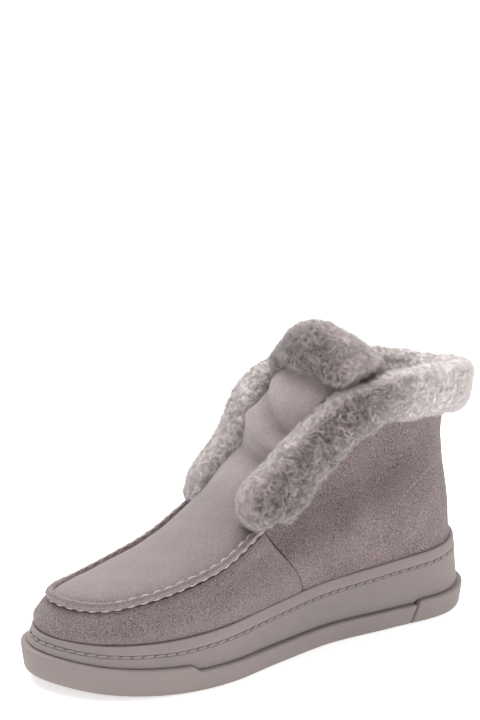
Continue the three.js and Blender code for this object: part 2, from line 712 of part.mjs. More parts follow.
function tongue() {
  const ts = range(11).map((t) => mix(...TONGUE_ENDS, t));
  return wall(ts, TONGUE_ACROSS, tonguePlace, 0, SUEDE);
}

function tongueLining() {
  const ts = range(9).map((t) => mix(...TONGUE_LINING_ENDS, t));
  const cs = TONGUE_ACROSS.map((c) => c * TONGUE_LINING_WIDTH);
  return wall(ts, cs, tonguePlace, SUEDE + GAP, SUEDE + GAP + FLEECE);
}

function tongueCuff() {
  const half = through(TONGUE_HALF, 1);
  const stations = range(18).map((t) => {
    const x = (2 * t - 1) * half;
    const at = tongueSurface(1, x);
    const up = at.clone().sub(tongueSurface(0.93, x)).normalize();
    const out = tongueNormal(1, x);
    return { at, out, up };
  });
  return sweep(stations, CUFF_SECTION);
}

// ---- the boot ----

const finish = (color, roughness) => new THREE.MeshStandardMaterial({ color, roughness, metalness: 0 });
const suede = finish(0x9a8888, 0.95);
const softSuede = finish(0xa59595, 0.95);
const pile = finish(0xa89b98, 1);
const rubber = finish(0x9b908f, 0.75);
const thread = finish(0xb4a9a6, 0.7);
const board = finish(0xb9a98c, 0.9);
const steel = new THREE.MeshStandardMaterial({ color: 0x8d9094, roughness: 0.35, metalness: 0.9 });
const foam = finish(0xd9d2c6, 0.95);
const cork = finish(0xa7835a, 0.95);
const stiffener = finish(0xd6d0c4, 0.8);

const boot = new THREE.Group();

function add(name, geometry, material) {
  const mesh = new THREE.Mesh(geometry, material);
  mesh.name = name;
  boot.add(mesh);
}

add('outsole_forepart', splitSole(outsoleBlock(foreBand, foreCore), -1), rubber);
add('outsole_heel', splitSole(outsoleBlock(() => HEEL_BAND, () => HEEL_CORE), 1), rubber);
add('midsole', midsole(), rubber);
add('sole_stitch', soleThread(), thread);
add('shank', shank(), steel);
add('bottom_filler', filler(), cork);
add('insole_board', soleSheet(...INSOLE_BOARD), board);
add('footbed_foam', soleSheet(...FOOTBED_FOAM), foam);
add('footbed_fleece', soleSheet(...FOOTBED_FLEECE), pile);
add('vamp_wrap', vampWrap(), suede);
add('apron', apron(), softSuede);
add('moc_seam_ridge', mocRidge(), softSuede);
add('moc_stitch_outer', mocThread(...OUTER_THREAD), thread);
add('moc_stitch_inner', mocThread(...INNER_THREAD), thread);
add('toe_puff', toePuff(), stiffener);
add('vamp_lining', vampLining(), pile);
add('heel_counter', heelCounter(), stiffener);
for (const [name, side] of [['lateral', 1], ['medial', -1]]) {
  add(`quarter_${name}`, quarter(side), suede);
  add(`quarter_lining_${name}`, quarterLining(side), pile);
  add(`cuff_${name}`, cuff(side), pile);
  add(`counter_stitch_${name}`, counterThread(side), thread);
}
add('tongue', tongue(), softSuede);
add('tongue_lining', tongueLining(), pile);
add('tongue_cuff', tongueCuff(), pile);

export default boot;
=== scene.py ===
import json
import math

import bmesh
import bpy
import numpy as np
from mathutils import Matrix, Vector, noise
from mathutils.bvhtree import BVHTree
from mathutils.kdtree import KDTree

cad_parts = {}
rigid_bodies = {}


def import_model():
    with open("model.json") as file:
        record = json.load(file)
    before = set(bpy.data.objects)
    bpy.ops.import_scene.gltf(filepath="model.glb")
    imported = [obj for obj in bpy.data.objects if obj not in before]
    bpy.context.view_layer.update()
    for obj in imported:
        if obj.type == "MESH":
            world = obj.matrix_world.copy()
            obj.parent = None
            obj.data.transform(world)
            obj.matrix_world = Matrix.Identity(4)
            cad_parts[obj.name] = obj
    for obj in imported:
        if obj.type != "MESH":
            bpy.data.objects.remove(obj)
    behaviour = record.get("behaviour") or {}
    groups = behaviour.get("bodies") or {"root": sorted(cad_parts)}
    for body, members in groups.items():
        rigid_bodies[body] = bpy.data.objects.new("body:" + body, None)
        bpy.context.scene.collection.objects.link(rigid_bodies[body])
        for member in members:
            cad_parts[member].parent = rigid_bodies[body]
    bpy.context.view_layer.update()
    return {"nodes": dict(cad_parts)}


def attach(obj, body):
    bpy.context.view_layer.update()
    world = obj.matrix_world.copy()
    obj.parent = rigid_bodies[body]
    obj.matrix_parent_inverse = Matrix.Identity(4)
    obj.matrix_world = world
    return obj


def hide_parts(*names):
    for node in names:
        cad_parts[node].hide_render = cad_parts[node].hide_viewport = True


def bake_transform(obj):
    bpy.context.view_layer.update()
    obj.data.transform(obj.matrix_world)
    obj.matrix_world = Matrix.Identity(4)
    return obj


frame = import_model()
nodes = frame["nodes"]
scene = bpy.context.scene
mm = 0.001


def newObject(name, data):
    made = bpy.data.objects.new(name, data)
    scene.collection.objects.link(made)
    return made


# ---- node tools ----

def setInputs(sockets, values):
    # each value is a plain one or another node's output
    for key, value in values.items():
        if isinstance(value, bpy.types.NodeSocket):
            value.id_data.links.new(value, sockets[key])
        else:
            sockets[key].default_value = value


def addNode(tree, kind, inputs=None, **settings):
    node = tree.nodes.new(kind)
    for key, value in settings.items():
        setattr(node, key, value)
    setInputs(node.inputs, inputs or {})
    return node


def newTree(kind, name, inputs, outputs):
    tree = bpy.data.node_groups.new(name, kind)
    for label, socketKind, value in inputs:
        socket = tree.interface.new_socket(
            name=label, in_out="INPUT", socket_type="NodeSocket" + socketKind)
        if value is not None:
            socket.default_value = value
    for label, socketKind in outputs:
        tree.interface.new_socket(name=label, in_out="OUTPUT", socket_type="NodeSocket" + socketKind)
    return tree, tree.nodes.new("NodeGroupInput").outputs, tree.nodes.new("NodeGroupOutput").inputs


def mathNode(tree, operation, first, second):
    return addNode(tree, "ShaderNodeMath", {0: first, 1: second}, operation=operation).outputs[0]


def vectorNode(tree, operation, first, second):
    other = "Scale" if operation == "SCALE" else 1
    return addNode(tree, "ShaderNodeVectorMath", {0: first, other: second}, operation=operation).outputs[0]


def noiseNode(tree, vector, size, detail, roughness):
    # noise centred on zero
    node = addNode(tree, "ShaderNodeTexNoise", {
        "Vector": vector, "Scale": mathNode(tree, "DIVIDE", 1.0, size), "Detail": detail,
        "Roughness": roughness})
    return mathNode(tree, "SUBTRACT", node.outputs["Fac"], 0.5)


# ---- materials ----

def tone(red, green, blue):
    # screen values 0-255 to a linear colour
    def linear(value):
        share = value / 255
        return share / 12.92 if share <= 0.04045 else ((share + 0.055) / 1.055) ** 2.4
    return (linear(red), linear(green), linear(blue), 1)


# Nap or grain: fine and broad changes of tone, and a height for the bump.
def makeGrainGroup():
    tree, start, end = newTree("ShaderNodeTree", "grain", [
        ("Colour", "Color", (0.5, 0.5, 0.5, 1)), ("Grain Size", "Float", 0.0008),
        ("Grain Contrast", "Float", 0.3), ("Patch Size", "Float", 0.012), ("Patch Contrast", "Float", 0.2),
    ], [("Colour", "Color"), ("Height", "Float")])
    where = addNode(tree, "ShaderNodeTexCoord").outputs["Object"]
    fine = noiseNode(tree, where, start["Grain Size"], 4.0, 0.7)
    patch = noiseNode(tree, where, start["Patch Size"], 3.0, 0.55)
    fineShare = mathNode(tree, "MULTIPLY", fine, start["Grain Contrast"])
    patchShare = mathNode(tree, "MULTIPLY", patch, start["Patch Contrast"])
    factor = mathNode(tree, "ADD", mathNode(tree, "ADD", fineShare, patchShare), 1.0)
    setInputs(end, {"Colour": vectorNode(tree, "SCALE", start["Colour"], factor), "Height": fine})
    return tree


# Paler rubbed edges from wear, and painted shade darkening the hollows, from how sharply the surface bends.
def makeWearAndShadeGroup():
    palest, darkest = 0.25, -0.4
    tree, start, end = newTree("ShaderNodeTree", "edgeWearAndHollowShade", [
        ("Colour", "Color", (0.5, 0.5, 0.5, 1)), ("Amount", "Float", 3.0)], [("Colour", "Color")])
    bend = addNode(tree, "ShaderNodeNewGeometry").outputs["Pointiness"]
    lifted = mathNode(tree, "MULTIPLY", mathNode(tree, "SUBTRACT", bend, 0.5), start["Amount"])
    limited = mathNode(tree, "MAXIMUM", mathNode(tree, "MINIMUM", lifted, palest), darkest)
    factor = mathNode(tree, "ADD", limited, 1.0)
    setInputs(end, {"Colour": vectorNode(tree, "SCALE", start["Colour"], factor)})
    return tree


grainGroup = makeGrainGroup()
wearAndShadeGroup = makeWearAndShadeGroup()


def newMaterial(name, shaderValues):
    material = bpy.data.materials.new(name)
    material.use_nodes = True
    shader = material.node_tree.nodes["Principled BSDF"].inputs
    setInputs(shader, shaderValues)
    return material, material.node_tree, shader


def grained(tree, colour, grain, contrast, patch, patchContrast):
    # grain and patch are millimetres; gives a colour and a height
    return addNode(tree, "ShaderNodeGroup", {
        "Colour": colour, "Grain Size": grain * mm, "Grain Contrast": contrast, "Patch Size": patch * mm,
        "Patch Contrast": patchContrast}, node_tree=grainGroup).outputs


def attribute(tree, label):
    return addNode(tree, "ShaderNodeAttribute", attribute_name=label).outputs["Fac"]


def paintSurface(tree, shader, colour, height, bump, strength):
    raised = addNode(tree, "ShaderNodeBump", {"Strength": strength, "Distance": bump * mm, "Height": height})
    setInputs(shader, {"Base Color": colour, "Normal": raised.outputs["Normal"]})


def surfaceMaterial(name, colour, roughness, grain, contrast, patch, patchContrast, bump,
                    bumpStrength=0.5, wearAndShade=0.0, sheen=0.0, specular=0.3, metallic=0.0, paintedShadingStrength=0.0):
    # grain, patch and bump are millimetres
    values = {"Roughness": roughness, "Specular IOR Level": specular, "Metallic": metallic}
    if sheen:
        values.update({"Sheen Weight": sheen, "Sheen Roughness": 0.55, "Sheen Tint": (1, 0.97, 0.96, 1)})
    material, tree, shader = newMaterial(name, values)
    nap = grained(tree, tone(*colour), grain, contrast, patch, patchContrast)
    painted = nap["Colour"]
    # paler rubbed edges from wear and painted shade in the hollows
    if wearAndShade:
        painted = addNode(
            tree, "ShaderNodeGroup", {"Amount": wearAndShade, "Colour": painted}, node_tree=wearAndShadeGroup).outputs[0]
    if paintedShadingStrength:
        # painted shading: darker where the piece's value is positive, lighter where it is negative
        darker = mathNode(tree, "MULTIPLY", attribute(tree, "paintedShading"), paintedShadingStrength)
        painted = vectorNode(tree, "SCALE", painted, mathNode(tree, "SUBTRACT", 1.0, darker))
    paintSurface(tree, shader, painted, nap["Height"], bump, bumpStrength)
    return material


def pileMaterial(name, dark, light, paintedLight):
    # colour runs from painted shade at the roots and in the curls' gaps to the tips; the share of painted
    # light comes from the piece
    material, tree, shader = newMaterial(name, {
        "Roughness": 0.95, "Specular IOR Level": 0.1, "Sheen Weight": 0.35, "Sheen Roughness": 0.5,
        "Subsurface Weight": 0.45, "Subsurface Radius": (1.0, 0.85, 0.8), "Subsurface Scale": 2.5 * mm})

    def blendColours(share, first, second):
        return addNode(tree, "ShaderNodeMix", {0: share, 6: first, 7: second}, data_type="RGBA").outputs[2]

    body = blendColours(attribute(tree, "paintedLight"), tone(*light), tone(*paintedLight))
    # painted shade: darker in the curls' gaps and at the hair roots
    raisedShare = mathNode(tree, "MULTIPLY", attribute(tree, "curl"), 0.8)
    tipShare = mathNode(tree, "MULTIPLY", attribute(tree, "tip"), 0.3)
    share = mathNode(tree, "MINIMUM", mathNode(tree, "ADD", raisedShare, tipShare), 1.0)
    nap = grained(tree, blendColours(share, tone(*dark), body), 0.9, 0.45, 9, 0.4)
    hairTone = mathNode(tree, "ADD", mathNode(tree, "MULTIPLY", attribute(tree, "shade"), 0.14), 0.93)
    paintSurface(tree, shader, vectorNode(tree, "SCALE", nap["Colour"], hairTone), nap["Height"], 0.3, 0.5)
    return material


napped = {"bumpStrength": 0.9, "sheen": 0.25, "specular": 0.1}
# wearAndShade: paler rubbed edges from wear and painted shade in the hollows
rubber = {"bump": 0.1, "wearAndShade": 2.0}
twine = {"grain": 0.25, "contrast": 0.5, "patch": 3, "patchContrast": 0.2, "bump": 0.1, "wearAndShade": 2.5}
suede = surfaceMaterial("suede", (124, 111, 110), 0.95, 0.6, 5.0, 16, 0.4, bump=0.6, **napped)
quarterSuede = surfaceMaterial(
    "quarterSuede", (129, 114, 114), 0.95, 0.62, 6.2, 20, 0.6, bump=0.7, paintedShadingStrength=0.36, **napped)
apronSuede = surfaceMaterial(
    "apronSuede", (140, 128, 128), 0.95, 0.55, 2.2, 18, 0.35, bump=0.35, bumpStrength=0.8, sheen=0.3,
    specular=0.1, paintedShadingStrength=0.36)
ridgeSuede = surfaceMaterial(
    "ridgeSuede", (132, 120, 119), 0.95, 0.9, 1.8, 5, 0.5, bump=0.4, bumpStrength=0.8, wearAndShade=2.5, sheen=0.25,
    specular=0.1)
soleRubber = surfaceMaterial("soleRubber", (137, 127, 124), 0.7, 0.7, 0.22, 30, 0.16, **rubber)
cupRubber = surfaceMaterial("cupRubber", (140, 130, 128), 0.75, 0.7, 0.24, 25, 0.18, specular=0.28, **rubber)
threadMaterial = surfaceMaterial("sewingThread", (174, 162, 159), 0.6, **twine)
soleThreadMaterial = surfaceMaterial("soleThread", (134, 124, 121), 0.65, **twine)
counterThreadMaterial = surfaceMaterial("counterThread", (166, 152, 151), 0.7, specular=0.2, **twine)
steel = surfaceMaterial(
    "shankSteel", (170, 172, 176), 0.35, 0.4, 0.12, 20, 0.15, bump=0.03, metallic=0.9, specular=0.5)
corkMaterial = surfaceMaterial("cork", (167, 131, 90), 0.9, 1.6, 0.9, 6, 0.4, bump=0.4, specular=0.15)
boardMaterial = surfaceMaterial(
    "fibreBoard", (185, 169, 140), 0.9, 0.5, 0.3, 15, 0.2, bump=0.08, specular=0.15)
foamMaterial = surfaceMaterial("foam", (217, 210, 198), 0.95, 0.7, 0.3, 10, 0.1, bump=0.3, specular=0.1)
stiffMaterial = surfaceMaterial(
    "stiffener", (214, 208, 196), 0.8, 0.5, 0.2, 14, 0.12, bump=0.08, specular=0.2)
cuffPile = pileMaterial("cuffPile", (72, 60, 60), (185, 170, 168), (244, 233, 230))
liningPile = pileMaterial("liningPile", (104, 92, 91), (176, 163, 161), (232, 221, 218))
print("materials made")


# ---- camera, light and floor ----

studio = {
    "cameraPlace": (0.862, -0.5705, 0.4362), "cameraTarget": (-0.032, 0.0115, 0.1505),
    "lens": 99.0, "clip": (0.05, 60),
    "worldLight": 0.5,
    "suns": [                 # name, strength, degrees across, where it comes from
        ("keyLight", 3.3, 55, (-0.35, 0.02, 1.0)),
        ("sideLight", 1.0, 80, (1.0, 0.55, 0.3)),
    ],
    "floorColour": 0.86, "floorGlow": 0.56, "floorHalf": 12,
}


def makeStudio():
    view = bpy.data.cameras.new("camera")
    view.lens = studio["lens"]
    view.sensor_width = 36
    view.clip_start, view.clip_end = studio["clip"]
    camera = newObject("camera", view)
    place = Vector(studio["cameraPlace"])
    camera.location = place
    camera.rotation_euler = (Vector(studio["cameraTarget"]) - place).to_track_quat("-Z", "Y").to_euler()
    scene.camera = camera
    scene.view_settings.view_transform = "Standard"

    world = bpy.data.worlds.new("studioLight")
    world.use_nodes = True
    setInputs(world.node_tree.nodes["Background"].inputs, {
        "Color": (1, 1, 1, 1), "Strength": studio["worldLight"]})
    scene.world = world
    for name, strength, softness, origin in studio["suns"]:
        light = bpy.data.lights.new(name, "SUN")
        light.energy = strength
        light.angle = math.radians(softness)
        newObject(name, light).rotation_euler = Vector(origin).to_track_quat("Z", "Y").to_euler()

    half = studio["floorHalf"]
    corners = [(-half, -half, 0), (half, -half, 0), (half, half, 0), (-half, half, 0)]
    mesh = bpy.data.meshes.new("studioFloor")
    mesh.from_pydata(corners, [], [(0, 1, 2, 3)])
    paper, _, _ = newMaterial("palePaper", {
        "Base Color": (*[studio["floorColour"]] * 3, 1), "Roughness": 0.9, "Specular IOR Level": 0.1,
        "Emission Color": (1, 1, 1, 1), "Emission Strength": studio["floorGlow"]})
    mesh.materials.append(paper)
    newObject("studioFloor", mesh)


makeStudio()
print("camera, light and floor made")


# ---- small tools ----

def ease(low, high, value):
    share = min(max((value - low) / (high - low), 0.0), 1.0)
    return share * share * (3 - 2 * share)


def mix(first, second, share):
    return first + (second - first) * share


def meshFrom(name, points, faces):
    mesh = bpy.data.meshes.new(name)
    mesh.from_pydata([tuple(p) for p in points], [], faces)
    mesh.update()
    return mesh


def removeObject(old):
    data = old.data
    bpy.data.objects.remove(old)
    if data.users == 0:
        bpy.data.meshes.remove(data)


def frozen(piece):
    # the piece with its modifiers applied, as a new plain mesh
    graph = bpy.context.evaluated_depsgraph_get()
    graph.update()
    return bpy.data.meshes.new_from_object(piece.evaluated_get(graph))


def withModifiers(mesh, modifiers):
    piece = newObject("working", mesh)
    for kind, values in modifiers:
        modifier = piece.modifiers.new(kind.lower(), kind)
        for key, value in values.items():
            setattr(modifier, key, value)
    made = frozen(piece)
    removeObject(piece)
    return made


def finishPiece(name, mesh, material, body, replaced=()):
    mesh.name = name
    mesh.materials.clear()
    mesh.materials.append(material)
    mesh.shade_smooth()
    piece = newObject(name, mesh)
    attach(piece, body)
    if replaced:
        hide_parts(*replaced)
    return piece


def mergedCopy(name):
    # a CAD node is loose triangles, so a copy of it is merged first
    solidMesh = bmesh.new()
    solidMesh.from_mesh(nodes[name].data)
    bmesh.ops.remove_doubles(solidMesh, verts=solidMesh.verts, dist=3e-6)
    return solidMesh


def quadCopy(name):
    # merged copy with its triangles paired
    solidMesh = mergedCopy(name)
    bmesh.ops.join_triangles(
        solidMesh, faces=solidMesh.faces, angle_face_threshold=math.radians(75),
        angle_shape_threshold=math.radians(75))
    return solidMesh


def creaseSharp(solidMesh, angle, value):
    layer = solidMesh.edges.layers.float.new("crease_edge")
    for line in solidMesh.edges:
        if len(line.link_faces) == 2 and line.calc_face_angle(0) > math.radians(angle):
            line[layer] = value


def meshOf(solidMesh, name):
    mesh = bpy.data.meshes.new(name)
    solidMesh.to_mesh(mesh)
    solidMesh.free()
    return mesh


def coordinates(mesh):
    flat = np.empty(len(mesh.vertices) * 3)
    mesh.vertices.foreach_get("co", flat)
    return flat.reshape(-1, 3)


def setCoordinates(mesh, points):
    mesh.vertices.foreach_set("co", points.ravel())
    mesh.update()


def pushOut(mesh, pushAt):
    # moves each point along its normal, by what pushAt(point, normal) gives
    flat = np.empty(len(mesh.vertices) * 3)
    mesh.vertex_normals.foreach_get("vector", flat)
    places, directions = coordinates(mesh), flat.reshape(-1, 3)
    pushes = [pushAt(Vector(place), Vector(direction)) for place, direction in zip(places, directions)]
    setCoordinates(mesh, places + directions * np.array(pushes)[:, None])


def floatAttribute(mesh, name, values):
    layer = mesh.attributes.get(name) or mesh.attributes.new(name, "FLOAT", "POINT")
    layer.data.foreach_set("value", np.asarray(values, np.float32))


def rough(point, size, seed=0.0):
    # smooth noise of about that size, from -1 to 1
    return noise.noise(Vector(point) / size + Vector((seed, seed * 1.7, seed * 0.6)))


def treeOf(mesh):
    return BVHTree.FromPolygons([v.co for v in mesh.vertices], [tuple(p.vertices) for p in mesh.polygons])


def turnOutwards(mesh):
    solidMesh = bmesh.new()
    solidMesh.from_mesh(mesh)
    bmesh.ops.recalc_face_normals(solidMesh, faces=solidMesh.faces)
    solidMesh.to_mesh(mesh)
    solidMesh.free()


def tubeFaces(base, rings, sides, closed=True):
    # skin round rings of points, with a face over each end
    faces = [(base + r * sides + s, base + r * sides + (s + 1) % sides,
              base + (r + 1) * sides + (s + 1) % sides, base + (r + 1) * sides + s)
             for r in range(rings - 1) for s in range(sides)]
    if closed:
        faces.append(tuple(base + s for s in reversed(range(sides))))
        faces.append(tuple(base + (rings - 1) * sides + s for s in range(sides)))
    return faces


def curvePoint(a, b, c, d, t):
    # between b and c on a smooth curve through four points
    return 0.5 * (2 * b + (c - a) * t + (2 * a - 5 * b + 4 * c - d) * t * t
                  + (3 * b - a - 3 * c + d) * t ** 3)


def curveSlope(a, b, c, d, t):
    return 0.5 * ((c - a) + 2 * (2 * a - 5 * b + 4 * c - d) * t + 3 * (3 * b - a - 3 * c + d) * t * t)


# ---- thread paths from the CAD rows ----

def rowCentres(node, sides=5):
    # centre of each ring of a thread tube, in order along the row
    solidMesh = mergedCopy(node)
    points = [v.co.copy() for v in solidMesh.verts]
    solidMesh.free()
    tree = KDTree(len(points))
    for i, point in enumerate(points):
        tree.insert(point, i)
    tree.balance()
    used, centres = set(), []
    for i, point in enumerate(points):
        if i in used:
            continue
        group = [found for _, found, _ in tree.find_n(point, sides)]
        used.update(group)
        centres.append(sum((points[g] for g in group), Vector()) / sides)
    return centres


def chained(centres, first):
    left = list(centres)
    path = [left.pop(left.index(first))]
    while left:
        following = min(left, key=lambda p: (p - path[-1]).length_squared)
        left.remove(following)
        path.append(following)
    return path


def alongPath(points, count, between=8):
    # even samples on a smooth open curve through the points, and its length
    total = len(points)
    dense = []
    for i in range(total - 1):
        corners = [points[min(max(i + k, 0), total - 1)] for k in (-1, 0, 1, 2)]
        dense += [curvePoint(*corners, k / between) for k in range(between)]
    dense.append(points[-1].copy())
    reach = [0.0]
    for a, b in zip(dense, dense[1:]):
        reach.append(reach[-1] + (b - a).length)
    made, at = [], 0
    for k in range(count):
        target = reach[-1] * k / (count - 1)
        while at + 2 < len(reach) and reach[at + 1] < target:
            at += 1
        share = (target - reach[at]) / max(reach[at + 1] - reach[at], 1e-9)
        made.append(dense[at].lerp(dense[at + 1], min(max(share, 0), 1)))
    return made, reach[-1]


# ---- stitches: one shape repeated along a path ----

def makeStitchTree():
    tree, start, end = newTree("GeometryNodeTree", "stitchRow", [
        ("Path", "Geometry", None), ("Count", "Int", 20), ("Stitch", "Object", None),
        ("Size Change", "Float", 0.06), ("Turn", "Float", 0.06), ("Seed", "Int", 3),
        ("Material", "Material", None),
    ], [("Stitches", "Geometry")])
    curve = addNode(tree, "GeometryNodeMeshToCurve", {"Mesh": start["Path"]}).outputs["Curve"]
    spaced = addNode(tree, "GeometryNodeResampleCurve", {"Curve": curve, "Count": start["Count"]})
    outward = addNode(tree, "GeometryNodeInputNamedAttribute", {"Name": "outward"}, data_type="FLOAT_VECTOR")
    tangent = addNode(tree, "GeometryNodeInputTangent").outputs[0]
    lengthwise = addNode(tree, "FunctionNodeAlignRotationToVector", {"Vector": tangent}, axis="X")
    upright = addNode(tree, "FunctionNodeAlignRotationToVector", {
        "Rotation": lengthwise.outputs[0], "Vector": outward.outputs["Attribute"],
    }, axis="Z", pivot_axis="X")
    random = addNode(tree, "FunctionNodeRandomValue", {
        "Min": (-1, -1, -1), "Max": (1, 1, 1), "Seed": start["Seed"]}, data_type="FLOAT_VECTOR").outputs[0]
    turned = vectorNode(tree, "SCALE", random, start["Turn"])
    toRotation = addNode(tree, "FunctionNodeEulerToRotation", {0: turned})
    loose = addNode(tree, "FunctionNodeRotateRotation", {
        0: upright.outputs[0], 1: toRotation.outputs[0]}, rotation_space="LOCAL")
    grown = vectorNode(tree, "ADD", vectorNode(tree, "SCALE", random, start["Size Change"]), (1, 1, 1))
    shape = addNode(tree, "GeometryNodeObjectInfo", {"Object": start["Stitch"]}).outputs["Geometry"]
    placed = addNode(tree, "GeometryNodeInstanceOnPoints", {
        "Points": spaced.outputs["Curve"], "Instance": shape, "Rotation": loose.outputs[0], "Scale": grown})
    real = addNode(tree, "GeometryNodeRealizeInstances", {"Geometry": placed.outputs["Instances"]})
    painted = addNode(tree, "GeometryNodeSetMaterial", {
        "Geometry": real.outputs["Geometry"], "Material": start["Material"]})
    setInputs(end, {"Stitches": painted.outputs["Geometry"]})
    return tree


def nodesModifier(piece, tree, values):
    modifier = piece.modifiers.new("repeat", "NODES")
    modifier.node_group = tree
    for item in tree.interface.items_tree:
        if item.in_out == "INPUT" and item.name in values:
            modifier[item.identifier] = values[item.name]
    return modifier


stitchTree = makeStitchTree()


def stitchRow(path, outwards, count, shape, material, change=0.06, turn=0.06, seed=3, closed=False):
    mesh = bpy.data.meshes.new("path")
    lines = [(i, i + 1) for i in range(len(path) - 1)] + ([(len(path) - 1, 0)] if closed else [])
    mesh.from_pydata([tuple(p) for p in path], lines, [])
    layer = mesh.attributes.new("outward", "FLOAT_VECTOR", "POINT")
    layer.data.foreach_set("vector", [value for out in outwards for value in out])
    row = newObject("stitchPath", mesh)
    stitch = newObject("stitchShape", shape)
    nodesModifier(row, stitchTree, {
        "Count": count, "Stitch": stitch, "Size Change": change, "Turn": turn, "Seed": seed,
        "Material": material})
    made = frozen(row)
    removeObject(row)
    removeObject(stitch)
    return made


# A twisted thread: its plies are fat in the middle and thin where they go into the holes.
def twistedStitch(length, width, arch, dip, plies=2, sides=5, rings=7, spread=0.55):
    points, faces = [], []
    for ply in range(plies):
        faces += tubeFaces(len(points), rings, sides)
        side = (ply - (plies - 1) / 2) * 2 / plies
        for r in range(rings):
            t = r / (rings - 1)
            rise = arch * math.sin(math.pi * t) ** 0.6 - dip * (abs(2 * t - 1) ** 4)
            bulge = math.sin(math.pi * t) ** 0.5
            thick = width / (1.2 * plies) * (0.55 + 0.45 * bulge)
            shift = side * width * spread * bulge
            for s in range(sides):
                turn = 2 * math.pi * s / sides
                across, up = shift + thick * math.cos(turn), rise + thick * math.sin(turn)
                points.append(((t - 0.5) * length, across, up))
    mesh = meshFrom("stitchShape", points, faces)
    turnOutwards(mesh)
    return mesh


def leafStitch(length, width, height, slant, sides=8, rings=7):
    points = []
    for r in range(rings):
        t = 0.04 + 0.92 * r / (rings - 1)
        x = (t - 0.5) * length
        wide, tall = width / 2 * math.sin(math.pi * t) ** 0.4, height * math.sin(math.pi * t) ** 0.5
        for s in range(sides):
            turn = 2 * math.pi * s / sides
            points.append((x, wide * math.cos(turn) + slant * x, tall * math.sin(turn)))
    mesh = meshFrom("leafStitch", points, tubeFaces(0, rings, sides))
    turnOutwards(mesh)
    return mesh


# ---- the sole ----

sole = {
    "outline": [
        (0, 137.5), (23, 129.5), (37, 107.5), (37, 67.5), (36, 27.5), (43, -12.5), (50, -47.5),
        (47, -82.5), (34, -112.5), (13, -131), (-8, -137.5), (-28.5, -129), (-41, -107.5),
        (-46.5, -77.5), (-46, -47.5), (-40, -12.5), (-34.5, 27.5), (-34.5, 67.5), (-33, 107.5),
        (-20, 129.5)],
    "around": 384,
    "halfLength": 137.5,
    "toeSpring": 6.2,
    "springStart": -57.5,
    "bands": (15, 11.6, 13.5),       # height of the outsole's wall: forefoot, waist, heel
    "bandStep": -68,
    "heelSplit": 82.5, "splitGap": 2.2, "splitSlant": 0.35,
    "cores": (6, 9),                 # the recess the cup sits in: front, heel
    "lip": (42.9, 25.7, 0.9),        # heel, toe, sag between
    "channelHalf": 1.15, "channelDepth": 0.8,
    "stitchPitch": 6.0, "leaf": (5.7, 1.6, 0.55), "leafSlant": 0.06,
    "treadPitch": 7.5, "treadDepth": 1.3, "treadWave": (1.6, 16), "treadColumns": 44,
}


def outlinePoint(share):
    corners = sole["outline"]
    total = len(corners)
    where = (share % 1) * total
    near = [Vector(corners[(int(where) + k) % total]) for k in (-1, 0, 1, 2)]
    at, along = curvePoint(*near, where % 1), curveSlope(*near, where % 1)
    out = Vector((-along.y, along.x)).normalized()
    return at, (out if out.dot(at) > 0 else -out)


outlinePoints = [outlinePoint(i / sole["around"]) for i in range(sole["around"])]


def toeRise(y):
    reach = max(0, (sole["springStart"] - y) / (sole["springStart"] + sole["halfLength"]))
    return sole["toeSpring"] * reach ** 2


def lipHeight(y):
    u = (sole["halfLength"] - y) / (2 * sole["halfLength"])
    heel, toe, sag = sole["lip"]
    return mix(heel, toe, u) - sag * 4 * u * (1 - u) + 0.6 * toeRise(y)


def foreBand(y):
    fore, waist, _ = sole["bands"]
    step = sole["bandStep"]
    return toeRise(y) + mix(fore, waist, ease(step - 3, step + 3, y))


def seatBand(y):
    step = sole["heelSplit"] + sole["splitSlant"] * sole["bands"][1]
    return mix(foreBand(y), sole["bands"][2], ease(step - 1.2, step + 1.2, y))


def seatCore(y):
    split = sole["heelSplit"] + 2.5
    return mix(sole["cores"][0] + toeRise(y), sole["cores"][1], ease(split - 16, split - 5, y))


def soleRing(inset, height):
    ring = []
    for at, out in outlinePoints:
        point = at - out * (inset(at.y) if callable(inset) else inset)
        ring.append(Vector((point.x, point.y, height(at.y))) * mm)
    return ring


def loftRings(name, rings, capColumns=1, bottomShape=None):
    # closed body from rings; the ends are closed by rungs from side to side
    count = len(rings[0])
    points = [p for ring in rings for p in ring]
    faces = tubeFaces(0, len(rings), count, False)
    half = count // 2

    def closeEnd(first, columns, shape):
        rows = []
        for i in range(1, half):
            left, right = points[first + i], points[first + count - i]
            row = [first + i]
            for k in range(1, columns):
                point = left.lerp(right, k / columns)
                if shape:
                    point = shape(point)
                row.append(len(points))
                points.append(point)
            row.append(first + count - i)
            rows.append(row)
        for upper, lower in zip(rows, rows[1:]):
            for k in range(columns):
                faces.append((upper[k], upper[k + 1], lower[k + 1], lower[k]))
        faces.append((first, *reversed(rows[0])))
        faces.append((first + half, *rows[-1]))
    closeEnd(0, capColumns, bottomShape)
    closeEnd((len(rings) - 1) * count, 1, None)
    mesh = meshFrom(name, points, faces)
    turnOutwards(mesh)
    return mesh


def treadShape(point):
    # wavy grooves across the sole
    tall, long = sole["treadWave"]
    wave = point.y / mm + tall * math.sin(point.x / mm * 2 * math.pi / long)
    share = abs(math.sin(math.pi * wave / sole["treadPitch"]))
    groove = 1 - ease(0.25, 0.5, share)
    return Vector((point.x, point.y, point.z + groove * sole["treadDepth"] * mm))


def outsoleMesh(name, band, core):
    def at(shift, base):
        return lambda y: base(y) + shift
    wall = [
        (6.5, toeRise), (2.6, toeRise), (1.7, at(0.3, toeRise)), (1.0, at(1.0, toeRise)),
        (0.6, at(1.9, toeRise)), (-0.1, lambda y: mix(toeRise(y) + 2, band(y) - 2.2, 0.5)),
        (-0.7, at(-2.2, band)), (-0.75, at(-1.1, band)), (-0.6, at(-0.5, band)), (-0.1, at(-0.06, band)),
        (0.5, band), (5, band), (5, core)]
    return loftRings(name, [soleRing(*place) for place in wall], sole["treadColumns"], treadShape)


